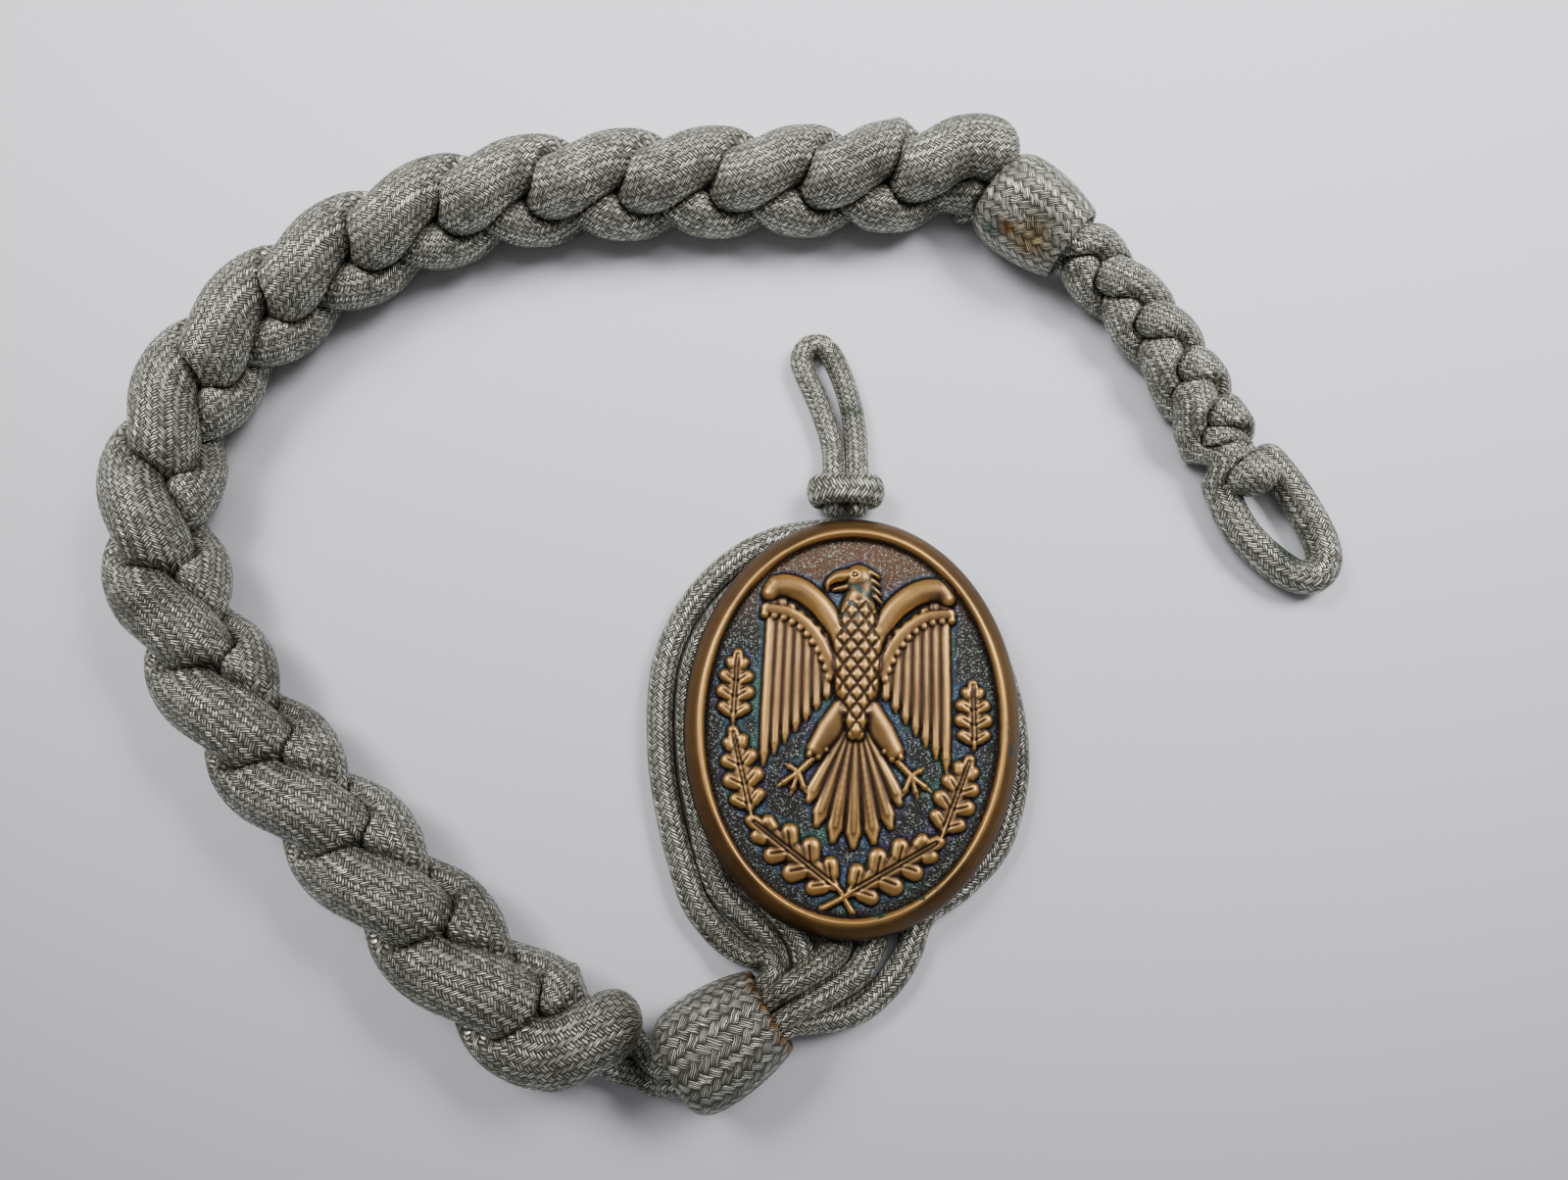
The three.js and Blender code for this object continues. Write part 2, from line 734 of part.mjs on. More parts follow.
const WING = {
  feathers: 7,
  width: 1.14,
  outer: { root: [12.2, 17.2], tip: [12.7, -6.2] },
  inner: { root: [4.9, 11.2], tip: [4.5, 3.0] },
};
const TAIL_FAN = { feathers: 7, width: 1.3, root: [0, -0.8], length: 15.6, outer: 27, shorter: 4.6 };
const TOES = [
  { from: [6.4, -4.6], to: [8.2, -7.4], width: 1.1 },
  { from: [8.0, -7.0], to: [7.0, -9.9], width: 0.85 },
  { from: [8.0, -7.0], to: [9.0, -9.9], width: 0.85 },
  { from: [8.0, -7.0], to: [10.6, -8.9], width: 0.85 },
];
const STEMS = [
  { from: [-3.2, -24.2], to: [1.6, -21.2], width: 0.9 },
  { from: [0.4, -24.4], to: [-2.6, -21.3], width: 0.9 },
];
const mirrored = ([u, v]) => [2 * EAGLE.middle - u, v];
const bothWings = (strips) => [
  ...strips,
  ...strips.map((strip) => ({ ...strip, from: mirrored(strip.from), to: mirrored(strip.to) })),
];

function wingFeathers() {
  return Array.from({ length: WING.feathers }, (_, i) => {
    const t = i / (WING.feathers - 1);
    return {
      from: [mix(WING.outer.root[0], WING.inner.root[0], t), mix(WING.outer.root[1], WING.inner.root[1], t)],
      to: [mix(WING.outer.tip[0], WING.inner.tip[0], t), mix(WING.outer.tip[1], WING.inner.tip[1], t)],
      width: WING.width,
    };
  });
}

function tailFeathers() {
  const half = (TAIL_FAN.feathers - 1) / 2;
  return Array.from({ length: TAIL_FAN.feathers }, (_, i) => {
    const t = (i - half) / half;
    const turn = THREE.MathUtils.degToRad(TAIL_FAN.outer * t);
    const length = TAIL_FAN.length - TAIL_FAN.shorter * t * t;
    const foot = [EAGLE.middle + t, TAIL_FAN.root[1]];
    return {
      from: foot,
      to: [foot[0] + length * Math.sin(turn), foot[1] - length * Math.cos(turn)],
      width: TAIL_FAN.width,
    };
  });
}

const wasm = await Module();
wasm.setup();

function solid(geometry) {
  const merged = closed(geometry);
  const vertProperties = new Float32Array(merged.attributes.position.array);
  const triVerts = new Uint32Array(merged.index.array);
  return new wasm.Manifold(new wasm.Mesh({ numProp: 3, vertProperties, triVerts }));
}

function plaqueBase() {
  const profile = PLAQUE_PROFILE.map(({ radius, height }) => new THREE.Vector2(radius, height));
  const geometry = new THREE.LatheGeometry(profile, PLAQUE.sides);
  geometry.rotateX(Math.PI / 2);
  const { position } = geometry.attributes;
  for (let i = 0; i < position.count; i++) {
    const radius = Math.hypot(position.getX(i), position.getY(i));
    const narrow = radius > 1 ? (radius - PLAQUE.narrower) / radius : 0;
    position.setX(i, position.getX(i) * narrow);
  }
  return solid(geometry);
}

// An outline that stands `height` over the ground, with a sloping edge and its root in the plaque.
function raised(outline, height, slope = 0.2) {
  const points = outline.map((point) => (point.isVector2 ? point : new THREE.Vector2(...point)));
  const geometry = new THREE.ExtrudeGeometry(new THREE.Shape(points), {
    depth: PLAQUE.root + height - 2 * slope,
    bevelEnabled: slope > 0,
    bevelThickness: slope,
    bevelSize: slope,
    bevelOffset: -slope,
    bevelSegments: 1,
  });
  geometry.translate(0, 0, PLAQUE.ground - PLAQUE.root + slope);
  return solid(geometry);
}

const relief = [
  ...LEAVES.map((leaf) => raised(leafOutline(leaf), 0.75)),
  ...STEMS.map((stem) => raised(stripOutline(stem), 0.65, 0)),
  ...bothWings(wingFeathers()).map((feather) => raised(stripOutline(feather), 0.6, 0)),
  ...tailFeathers().map((feather) => raised(stripOutline(feather), 0.55, 0)),
  ...bothWings(TOES).map((toe) => raised(stripOutline({ ...toe, point: 0.3 }), 0.5, 0)),
  ...[EAGLE.wingBone, EAGLE.wingBone.map(mirrored)].map((bone) => raised(bone, 0.85)),
  ...[EAGLE.thigh, EAGLE.thigh.map(mirrored)].map((thigh) => raised(thigh, 0.8)),
  raised(EAGLE.body, 1.05, 0.3),
  raised(EAGLE.head, 0.95),
];

function plaqueGeometry() {
  const { vertProperties, triVerts } = wasm.Manifold.union([plaqueBase(), ...relief]).getMesh();
  const geometry = new THREE.BufferGeometry();
  geometry.setAttribute("position", new THREE.BufferAttribute(vertProperties, 3));
  geometry.setIndex(new THREE.BufferAttribute(triVerts, 1));
  geometry.rotateZ(THREE.MathUtils.degToRad(PLAQUE.turned));
  geometry.translate(PLAQUE.x, PLAQUE.y, PLAQUE.back);
  geometry.computeVertexNormals();
  return geometry;
}

addPiece("badge", plaqueGeometry(), BRONZE);

const middle = new THREE.Box3().setFromObject(group).getCenter(new THREE.Vector3());
for (const mesh of group.children) mesh.geometry.translate(-middle.x, -middle.y, 0);

export default group;
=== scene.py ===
import math

import bmesh
import bpy
import numpy as np
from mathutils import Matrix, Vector


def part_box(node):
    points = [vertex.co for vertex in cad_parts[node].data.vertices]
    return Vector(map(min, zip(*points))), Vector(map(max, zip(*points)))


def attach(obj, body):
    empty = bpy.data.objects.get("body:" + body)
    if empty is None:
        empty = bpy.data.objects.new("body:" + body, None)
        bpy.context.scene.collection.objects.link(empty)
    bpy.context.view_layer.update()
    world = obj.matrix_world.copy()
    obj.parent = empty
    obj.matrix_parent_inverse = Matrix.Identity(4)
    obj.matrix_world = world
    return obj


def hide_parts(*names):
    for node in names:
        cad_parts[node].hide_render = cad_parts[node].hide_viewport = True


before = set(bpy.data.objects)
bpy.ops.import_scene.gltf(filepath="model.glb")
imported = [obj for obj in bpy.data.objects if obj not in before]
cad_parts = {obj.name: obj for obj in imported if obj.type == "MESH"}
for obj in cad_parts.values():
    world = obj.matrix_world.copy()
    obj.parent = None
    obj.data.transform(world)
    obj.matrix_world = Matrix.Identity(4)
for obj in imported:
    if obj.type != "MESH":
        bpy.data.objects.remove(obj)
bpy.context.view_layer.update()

# Camera: a wide lens 163 mm from the table, tilted 12 degrees from straight down. Its sizes are for the
# photograph's 1600 by 1204 pixels. Routes below are in millimetres of the plan in which they were drawn,
# and PLAN_MIDDLE is that plan's point at the frame's origin.
MM = 0.001
BADGE_MIDDLE = np.array([9.15, -19.5])
badge_low, badge_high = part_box("badge")
badge_now = [(low + high) / 2 / MM for low, high in zip(badge_low, badge_high)]
PLAN_MIDDLE = np.array([*(BADGE_MIDDLE - badge_now[:2]), 0.0])
CAMERA_TILT = math.radians(12)
CAMERA_DISTANCE = 163
FOCAL_PIXELS = 1156
IMAGE_WIDTH = 1600
SENSOR = 36

camera = bpy.data.objects.new("camera", bpy.data.cameras.new("camera"))
bpy.context.collection.objects.link(camera)
camera.location = Vector(
    np.array([0, -CAMERA_DISTANCE * math.sin(CAMERA_TILT), CAMERA_DISTANCE * math.cos(CAMERA_TILT)])
    - PLAN_MIDDLE
) * MM
camera.rotation_euler = (CAMERA_TILT, 0, 0)
camera.data.sensor_fit = "HORIZONTAL"
camera.data.sensor_width = SENSOR
camera.data.lens = FOCAL_PIXELS * SENSOR / IMAGE_WIDTH
camera.data.clip_start = 0.01
camera.data.clip_end = 20
bpy.context.scene.camera = camera

# Silver cord: a tubular braid of yarns, each a few threads of metallised film wound on a core. Two sets
# of yarns cross and float over two of each other, so the surface is a small herringbone of yarns and gaps.
# Its bright, hard glints and the dark gaps are painted into the colour: a painted highlight on each
# thread's crown, and painted shade between the threads and at each float's ends. U counts yarns round
# the cord and V counts them along it, so U + V and U - V run along the two sets. A yarn has fewer threads
# than a real one, each 0.26 to 0.34 mm wide instead of about 0.26 mm, so that a small picture still shows them.
THREADS = 2
SLEEVE_THREADS = 4
# Thread colours: a painted shade for the gaps between threads, the threads' own mid tone, and a near-white
# painted glint for their crowns.
THREAD_GAP_SHADE = "#1a1a16"
THREAD_MID = "#5d5c50"
THREAD_GLINT_WHITE = "#fbf9ea"
GRIME = "#7d7a66"


def linear(hex_colour, alpha=1.0):
    """The linear colour of an sRGB hex value."""
    channels = [int(hex_colour[i : i + 2], 16) / 255 for i in (1, 3, 5)]
    return [c / 12.92 if c <= 0.04045 else ((c + 0.055) / 1.055) ** 2.4 for c in channels] + [alpha]


def add(tree, kind, links=None, **settings):
    """A new node: settings are its properties, and links give its inputs a value or another's output."""
    node = tree.nodes.new(kind)
    for name, value in settings.items():
        setattr(node, name, value)
    for name, value in (links or {}).items():
        if isinstance(value, bpy.types.NodeSocket):
            tree.links.new(value, node.inputs[name])
        else:
            node.inputs[name].default_value = value
    return node


def sums(tree, operation, *values):
    """The output of a Math node."""
    return add(tree, "ShaderNodeMath", dict(enumerate(values)), operation=operation).outputs[0]


def between(tree, value, low, high):
    """How far a value has gone from low to high, eased, from 0 to 1."""
    links = {"Value": value, "From Min": low, "From Max": high}
    node = add(tree, "ShaderNodeMapRange", links, interpolation_type="SMOOTHSTEP")
    return node.outputs["Result"]


def blended(tree, share, first, second, blend="MIX"):
    """A colour Mix node's output."""
    node = add(tree, "ShaderNodeMix", data_type="RGBA", blend_type=blend)
    for index, value in ((0, share), (6, first), (7, second)):
        if isinstance(value, bpy.types.NodeSocket):
            tree.links.new(value, node.inputs[index])
        else:
            node.inputs[index].default_value = value
    return node.outputs[2]


def new_material(name, metallic, roughness):
    """A material with a Principled shader: the material, its tree and the shader."""
    material = bpy.data.materials.new(name)
    material.use_nodes = True
    shader = material.node_tree.nodes["Principled BSDF"]
    shader.inputs["Metallic"].default_value = metallic
    shader.inputs["Roughness"].default_value = roughness
    return material, material.node_tree, shader


def spot(tree, place, middle, radius):
    """1 at a place of the plan in millimetres and 0 past the radius."""
    target = [(c - m) * MM for c, m in zip(middle, PLAN_MIDDLE)]
    links = {0: place, 1: target}
    distance = add(tree, "ShaderNodeVectorMath", links, operation="DISTANCE").outputs["Value"]
    return between(tree, distance, radius * MM, 0.2 * radius * MM)


def woven_silver(name, threads, stains=()):
    """Braided metallic thread. Stains are (plan place, radius, colour, strength)."""
    material, tree, shader = new_material(name, 0.55, 0.36)
    uv = add(tree, "ShaderNodeSeparateXYZ", {0: add(tree, "ShaderNodeUVMap").outputs[0]})
    place = add(tree, "ShaderNodeTexCoord").outputs["Object"]
    wander = add(tree, "ShaderNodeTexNoise", {"Vector": place, "Scale": 900.0, "Detail": 1.0}).outputs[0]
    shift = sums(tree, "MULTIPLY", sums(tree, "SUBTRACT", wander, 0.5), 0.5)
    p = sums(tree, "ADD", sums(tree, "ADD", uv.outputs[0], uv.outputs[1]), shift)
    q = sums(tree, "ADD", sums(tree, "SUBTRACT", uv.outputs[0], uv.outputs[1]), shift)
    row_p, row_q = sums(tree, "FLOOR", p), sums(tree, "FLOOR", q)

    def floats(along, across_row, across, later):
        """One set of yarns: how much it is on top, its threads' height and each float's own number."""
        sum_of_rows = sums(tree, "ADD", along, across_row)
        step = sums(tree, "FLOORED_MODULO", sums(tree, "SUBTRACT", sum_of_rows, later), 4.0)
        on_top = sums(tree, "LESS_THAN", step, 2.0)
        arch = sums(tree, "SINE", sums(tree, "MULTIPLY", step, math.pi / 2))
        arch = sums(tree, "POWER", sums(tree, "MAXIMUM", arch, 0.0), 0.3)
        thread = sums(tree, "MULTIPLY", across, float(threads))
        round_thread = sums(tree, "ABSOLUTE", sums(tree, "SINE", sums(tree, "MULTIPLY", thread, math.pi)))
        number = sums(tree, "FLOOR", sums(tree, "DIVIDE", sum_of_rows, 4.0))
        seed = add(tree, "ShaderNodeCombineXYZ", {0: sums(tree, "FLOOR", thread), 1: number, 2: later})
        luck = add(tree, "ShaderNodeTexWhiteNoise", {"Vector": seed.outputs[0]}).outputs["Value"]
        height = sums(tree, "MULTIPLY", arch, sums(tree, "MULTIPLY_ADD", round_thread, 0.62, 0.38))
        return on_top, height, luck

    first_top, first_height, first_luck = floats(p, row_q, q, 0.0)
    _, second_height, second_luck = floats(q, row_p, p, 2.0)
    mix_height = add(tree, "ShaderNodeMix", {0: first_top, 2: second_height, 3: first_height})
    mix_luck = add(tree, "ShaderNodeMix", {0: first_top, 2: second_luck, 3: first_luck})
    height, luck = mix_height.outputs[0], mix_luck.outputs[0]
    # Painted glint and sheen: each thread's random brightness stands in for its glint, and the set of yarns on
    # top is painted brighter than the other, as the light catches it. Roughness is lower where it is bright.
    painted_glint = sums(tree, "MULTIPLY", luck, sums(tree, "MULTIPLY_ADD", first_top, 0.3, 0.7))
    # Painted light: the colour follows the threads' height, dark painted shade in the gaps and at float ends
    # and a near-white painted glint on the crowns.
    painted_light = sums(tree, "MULTIPLY", height, sums(tree, "MULTIPLY_ADD", painted_glint, 0.4, 0.62))
    ramp = add(tree, "ShaderNodeValToRGB", {"Fac": painted_light})
    stops = ramp.color_ramp.elements
    stops[0].position, stops[0].color = 0.02, linear(THREAD_GAP_SHADE)
    stops[1].position, stops[1].color = 0.98, linear(THREAD_GLINT_WHITE)
    stops.new(0.5).color = linear(THREAD_MID)
    colour = ramp.outputs["Color"]
    patches = add(tree, "ShaderNodeTexNoise", {"Vector": place, "Scale": 70.0, "Detail": 3.0}).outputs[0]
    colour = blended(tree, between(tree, patches, 0.5, 0.85), colour, linear(GRIME), "MULTIPLY")
    for stain_place, radius, stain, strength in stains:
        edge = sums(tree, "MULTIPLY", spot(tree, place, stain_place, radius), strength)
        ragged = sums(tree, "MULTIPLY", edge, between(tree, patches, 0.2, 0.5))
        colour = blended(tree, ragged, colour, linear(stain), "MULTIPLY")
    tree.links.new(colour, shader.inputs["Base Color"])
    rough = sums(tree, "MULTIPLY_ADD", painted_glint, -0.25, 0.5)
    tree.links.new(rough, shader.inputs["Roughness"])
    bump = add(tree, "ShaderNodeBump", {"Height": height, "Strength": 0.9, "Distance": 0.00016})
    tree.links.new(bump.outputs[0], shader.inputs["Normal"])
    return material


silver_cord = woven_silver("braided_metallic_thread", THREADS)


def line_through(points):
    """A smooth route through points of the plan: its points 0.02 mm apart or so, and their distances."""
    knots = np.array(points, float)
    knots = np.vstack([2 * knots[0] - knots[1], knots, 2 * knots[-1] - knots[-2]])
    t = np.linspace(0, 1, 400, endpoint=False)[:, None]
    pieces = []
    for a, b, c, d in zip(knots, knots[1:], knots[2:], knots[3:]):
        start, finish = (c - a) / 2, (d - b) / 2
        squared, cubed = 3 * (c - b) - 2 * start - finish, 2 * (b - c) + start + finish
        pieces.append(b + start * t + squared * t**2 + cubed * t**3)
    route = np.vstack([*pieces, knots[-2:-1]])
    gone = np.concatenate([[0], np.cumsum(np.linalg.norm(np.diff(route, axis=0), axis=1))])
    return route, gone


def placed_on(line, at):
    """Middle points of a line at distances from its start, and its sideways and upward unit vectors."""
    route, gone = line
    inside = np.clip(at, 0, gone[-1])

    def point(distance):
        return np.stack([np.interp(distance, gone, route[:, k]) for k in range(3)], axis=-1)

    along = point(np.minimum(inside + 0.2, gone[-1])) - point(np.maximum(inside - 0.2, 0))
    along /= np.linalg.norm(along, axis=-1, keepdims=True)
    side = np.cross([0, 0, 1], along)
    side /= np.linalg.norm(side, axis=-1, keepdims=True)
    return point(inside) + along * (at - inside)[:, None], side, np.cross(along, side)


def tube(name, sides, places, uvs):
    """A closed tube: a grid of rings by sides is wrapped round, its seam and its two ends are joined."""
    rings = len(places)
    work = bmesh.new()
    work.loops.layers.uv.new("UVMap")
    bmesh.ops.create_grid(work, x_segments=sides, y_segments=rings - 1, size=0.5, calc_uvs=True)
    mesh = bpy.data.meshes.new(name)
    work.to_mesh(mesh)
    work.free()
    flat = np.empty(len(mesh.vertices) * 3, np.float32)
    mesh.vertices.foreach_get("co", flat)
    flat = flat.reshape(-1, 3)
    column = np.rint((flat[:, 0] + 0.5) * sides).astype(int)
    row = np.rint((flat[:, 1] + 0.5) * (rings - 1)).astype(int)
    wrapped = places[row, column % sides]
    mesh.vertices.foreach_set("co", ((wrapped - PLAN_MIDDLE) * MM).astype(np.float32).ravel())
    corner = np.empty(len(mesh.loops), np.int32)
    mesh.loops.foreach_get("vertex_index", corner)
    u, v = uvs
    spread = np.stack([u * column[corner] / sides, v[row[corner]]], axis=-1)
    mesh.uv_layers[0].data.foreach_set("uv", spread.astype(np.float32).ravel())
    work = bmesh.new()
    work.from_mesh(mesh)
    bmesh.ops.remove_doubles(work, verts=work.verts, dist=1e-6)
    bmesh.ops.recalc_face_normals(work, faces=work.faces)
    for face in work.faces:
        face.smooth = True
    work.to_mesh(mesh)
    work.free()
    piece = bpy.data.objects.new(f"{name}_thread", mesh)
    bpy.context.collection.objects.link(piece)
    return piece


def lapped(u, v):
    """Height of the crossing yarns at places on a cord's skin, from 0 to 1, as the material has it."""
    p, q = u + v, u - v

    def floats(along, across_row, later):
        step = np.mod(along + across_row - later, 4)
        return np.where(step < 2, np.sqrt(np.maximum(np.sin(step * math.pi / 2), 0)), 0)

    return np.maximum(floats(p, np.floor(q), 0), floats(q, np.floor(p), 2))


def eased(t):
    t = np.clip(t, 0, 1)
    return t * t * (3 - 2 * t)


def capped_stations(start, finish, radius, pitch):
    """Distances of a tube's rings from start to finish, close together at its round ends."""
    turn = np.linspace(0, math.pi / 2, 9)
    cap = radius * (1 - np.cos(turn))
    body = np.linspace(start + radius, finish - radius, max(2, round((finish - start - 2 * radius) / pitch)))
    return np.concatenate([start + cap[:-1], body, (finish - cap[:-1])[::-1]])


# Thin cords: a plain tubular braid without padding. Tails run from the thick braid into the sleeves, and
# the button loop, the ring behind the plaque and the small shoulder loop are the same cord.
CORD_PITCH = 0.35
CORD_RELIEF = 0.09
# Height of the sleeves' middle line, the middle of each in the plan, and its heading in degrees from the
# braid to the rim.
SLEEVE_HEIGHT = 6.9
SLEEVES = {"lower_sleeve": (-7.7, -59.9, 31.5), "upper_sleeve": (37.0, 55.0, -40.5)}


def at_sleeve(name, along, across, up):
    """A point of the plan from a sleeve's own axes: along towards its rim, across to the left, and up."""
    x, y, facing = SLEEVES[name]
    turn = math.radians(facing)
    return (
        x + along * math.cos(turn) - across * math.sin(turn),
        y + along * math.sin(turn) + across * math.cos(turn),
        SLEEVE_HEIGHT + up,
    )


def cord_piece(name, points, width, yarns, neck=None, taper=6, squeezed=(True, True), sides=48):
    """A cord along a route, squeezed to its neck at the ends that go into something."""
    line = line_through(points)
    length = line[1][-1]
    neck = neck or width
    at = capped_stations(0, length, neck / 2, CORD_PITCH)
    middle, across, above = placed_on(line, at)
    nearest = np.full_like(at, length)
    if squeezed[0]:
        nearest = np.minimum(nearest, at)
    if squeezed[1]:
        nearest = np.minimum(nearest, length - at)
    radius = (neck + (width - neck) * eased(nearest / taper)) / 2
    tip = np.clip(1 - np.minimum(at, length - at) / (neck / 2), 0, 1)
    radius = radius * np.sqrt(1 - tip**2)
    angle = -np.arange(sides) / sides * 2 * math.pi
    v = at * yarns / (math.pi * width)
    raised = CORD_RELIEF * (lapped(yarns * np.arange(sides) / sides, v[:, None]) - 0.6) * (1 - tip[:, None])
    skin = radius[:, None] + raised
    places = (
        middle[:, None]
        + across[:, None] * (skin * np.cos(angle))[..., None]
        + above[:, None] * (skin * np.sin(angle))[..., None]
    )
    places[..., 2] = np.maximum(places[..., 2], 0)
    piece = tube(name, sides, places, (yarns, v))
    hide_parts(name)
    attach(piece, "root")
    return piece


TAILS = {
    "lower_tail_1": [
        (-24.3, -62.35, 4.45), (-21.6, -64.2, 2.2), (-19.0, -64.8, 2.0), (-16.4, -65.6, 3.2),
        at_sleeve("lower_sleeve", -7.2, -1.6, -1.9), at_sleeve("lower_sleeve", -2.5, -1.6, -1.6),
    ],
    "lower_tail_2": [
        (-22.2, -60.2, 3.5), (-20.2, -60.3, 2.4), (-18.3, -61.6, 3.0), (-16.4, -62.6, 5.4),
        at_sleeve("lower_sleeve", -7.2, 1.5, 1.4), at_sleeve("lower_sleeve", -2.5, 1.8, 1.8),
    ],
    "upper_tail_1": [
        (25.6, 58.6, 1.75), (27.8, 58.6, 2.2), at_sleeve("upper_sleeve", -8.8, -2.0, -2.6),
        at_sleeve("upper_sleeve", -6.8, -2.0, -1.2), at_sleeve("upper_sleeve", -2.5, -1.6, -0.6),
    ],
    "upper_tail_2": [
        (25.4, 62.6, 1.75), (28.0, 62.6, 2.2), at_sleeve("upper_sleeve", -8.6, 1.8, -2.2),
        at_sleeve("upper_sleeve", -6.8, 1.8, 0.6), at_sleeve("upper_sleeve", -2.5, 1.8, 1.0),
    ],
}
for name, points in TAILS.items():
    piece = cord_piece(name, points, 3.5, 12, neck=3.0, taper=5, squeezed=(False, True))
    piece.data.materials.append(silver_cord)


# Button loop: one thicker cord that comes out of the thin braid, turns and goes back under it. It has a
# little verdigris where it lay against a button.
loop_silver = woven_silver("button_loop_thread", THREADS, stains=[((71.2, 4.4, 4), 3.2, "#3f7f66", 0.8)])
END_LOOP = [
    (61.9, 16.6, 2.5), (63.3, 13.6, 2.45), (64.3, 10.6, 2.45), (66.1, 7.3, 2.45), (69.0, 4.1, 2.45),
    (72.3, 1.7, 2.45), (75.3, 1.5, 2.45), (76.9, 3.8, 2.45), (76.5, 7.2, 2.45), (75.0, 10.9, 2.45),
    (73.3, 14.2, 2.45), (71.1, 17.6, 2.45), (68.6, 20.6, 2.6),
]
piece = cord_piece("end_loop", END_LOOP, 4.8, 16, sides=44)
piece.data.materials.append(loop_silver)

# Ring of cords behind the plaque: three leave the lower sleeve low down, go round and come back over
# themselves into its rim, and a fourth turn lies inside them. Each lies loose on the table.
RING_LEVEL = 1.8


def flat(points):
    """Points of a cord that lies on the table."""
    return [(x, y, RING_LEVEL) for x, y in points]


RING_CORDS = {
    "ring_cord_1": [
        at_sleeve("lower_sleeve", 4.6, 3.05, 0), at_sleeve("lower_sleeve", 8.2, 3.05, 0.1),
        (-1.3, -51.7, 6.6), (-2.2, -49.9, 5.6), (-5.0, -49.6, 4.0),
        *flat([
            (-8.6, -47.4), (-11.9, -43.4), (-13.9, -38.0), (-15.4, -32.6), (-16.7, -26.0), (-17.2, -19.6),
            (-17.1, -14.3), (-16.3, -9.6), (-14.2, -4.6), (-11.2, -0.2), (-7.3, 3.6), (-3.0, 6.2),
            (2.0, 7.7), (8.0, 8.0), (14.6, 6.4), (21.0, 2.6), (26.6, -4.2), (30.2, -12.0), (31.8, -20.0),
            (31.6, -27.6), (29.0, -35.6), (24.0, -41.0), (18.6, -44.8), (16.5, -49.7), (14.2, -53.2),
            (10.9, -56.2),
        ]),
        (7.2, -57.7, 2.9), (3.9, -58.0, 4.4),
        at_sleeve("lower_sleeve", 8.2, -3.05, -0.3), at_sleeve("lower_sleeve", 4.6, -3.05, 0),
    ],
    "ring_cord_2": [
        at_sleeve("lower_sleeve", 4.6, 1.5, -2.6), at_sleeve("lower_sleeve", 8.2, 1.5, -2.6),
        (-0.8, -52.0, 2.9), (-1.3, -49.6, 1.8), (-3.2, -47.0, 1.8),
        *flat([
            (-6.0, -44.3), (-8.8, -41.1), (-10.4, -36.7), (-11.5, -31.6), (-12.8, -25.5), (-13.3, -19.6),
            (-13.2, -14.6), (-12.5, -10.7), (-10.7, -6.4), (-8.1, -2.6), (-4.9, 0.5), (-1.4, 2.6),
            (2.8, 3.9), (8.0, 4.1), (13.4, 2.7), (18.7, -0.5), (23.3, -6.3), (26.5, -13.2), (27.9, -20.2),
            (27.7, -26.8), (25.5, -33.6), (21.2, -38.3), (15.8, -42.0), (12.8, -45.0), (11.9, -48.4),
        ]),
        (9.9, -51.9, 2.8), (6.5, -53.9, 4.9), (2.9, -55.4, 7.9),
        at_sleeve("lower_sleeve", 8.2, -1.5, 2.7), at_sleeve("lower_sleeve", 4.6, -1.5, 2.6),
    ],
    "ring_cord_3": [
        at_sleeve("lower_sleeve", 4.6, -1.5, -2.6), at_sleeve("lower_sleeve", 8.2, -1.5, -2.6),
        (2.4, -55.2, 2.7), (2.7, -52.0, 1.8), (2.4, -48.8, 1.8),
        *flat([
            (0.2, -45.4), (-2.9, -42.0), (-5.3, -38.5), (-6.8, -35.2), (-7.7, -30.8), (-9.0, -25.0),
            (-9.4, -19.6), (-9.3, -15.0), (-8.7, -12.0), (-7.2, -8.4), (-5.0, -5.4), (-2.4, -2.9),
            (0.6, -1.2), (3.8, -0.1), (8.0, 0.2), (12.2, -1.0), (16.4, -3.6), (20.2, -8.3), (22.8, -14.4),
            (24.0, -20.4), (23.8, -26.0), (22.0, -31.4), (18.4, -35.4), (13.2, -38.8), (9.8, -41.8),
            (8.3, -45.0),
        ]),
        (7.2, -49.1, 1.9), (4.7, -50.8, 6.4), (1.2, -52.7, 9.3),
        at_sleeve("lower_sleeve", 8.2, 1.5, 2.7), at_sleeve("lower_sleeve", 4.6, 1.5, 2.6),
    ],
    "ring_cord_4": flat([
        (3.7, -4.5), (0.9, -6.0), (-1.7, -8.4), (-3.6, -10.8), (-4.6, -13.5), (-5.1, -16.5), (-5.2, -20.4),
        (-4.7, -25.3), (-3.6, -30.1), (-2.1, -33.6), (0.0, -36.5), (2.1, -38.9), (4.8, -40.0),
        (7.2, -38.0), (10.2, -35.1), (14.8, -32.8), (18.0, -29.5), (19.5, -25.3), (19.8, -20.8),
        (18.7, -15.7), (16.6, -10.8), (13.7, -7.2), (10.5, -5.1), (8.2, -4.4),
    ]),
}
ring_silver = woven_silver("ring_cord_thread", THREADS)
for name, points in RING_CORDS.items():
    into_sleeve = name != "ring_cord_4"
    piece = cord_piece(name, points, 3.7, 12, neck=2.6 if into_sleeve else 3.6, taper=16)
    piece.data.materials.append(ring_silver)

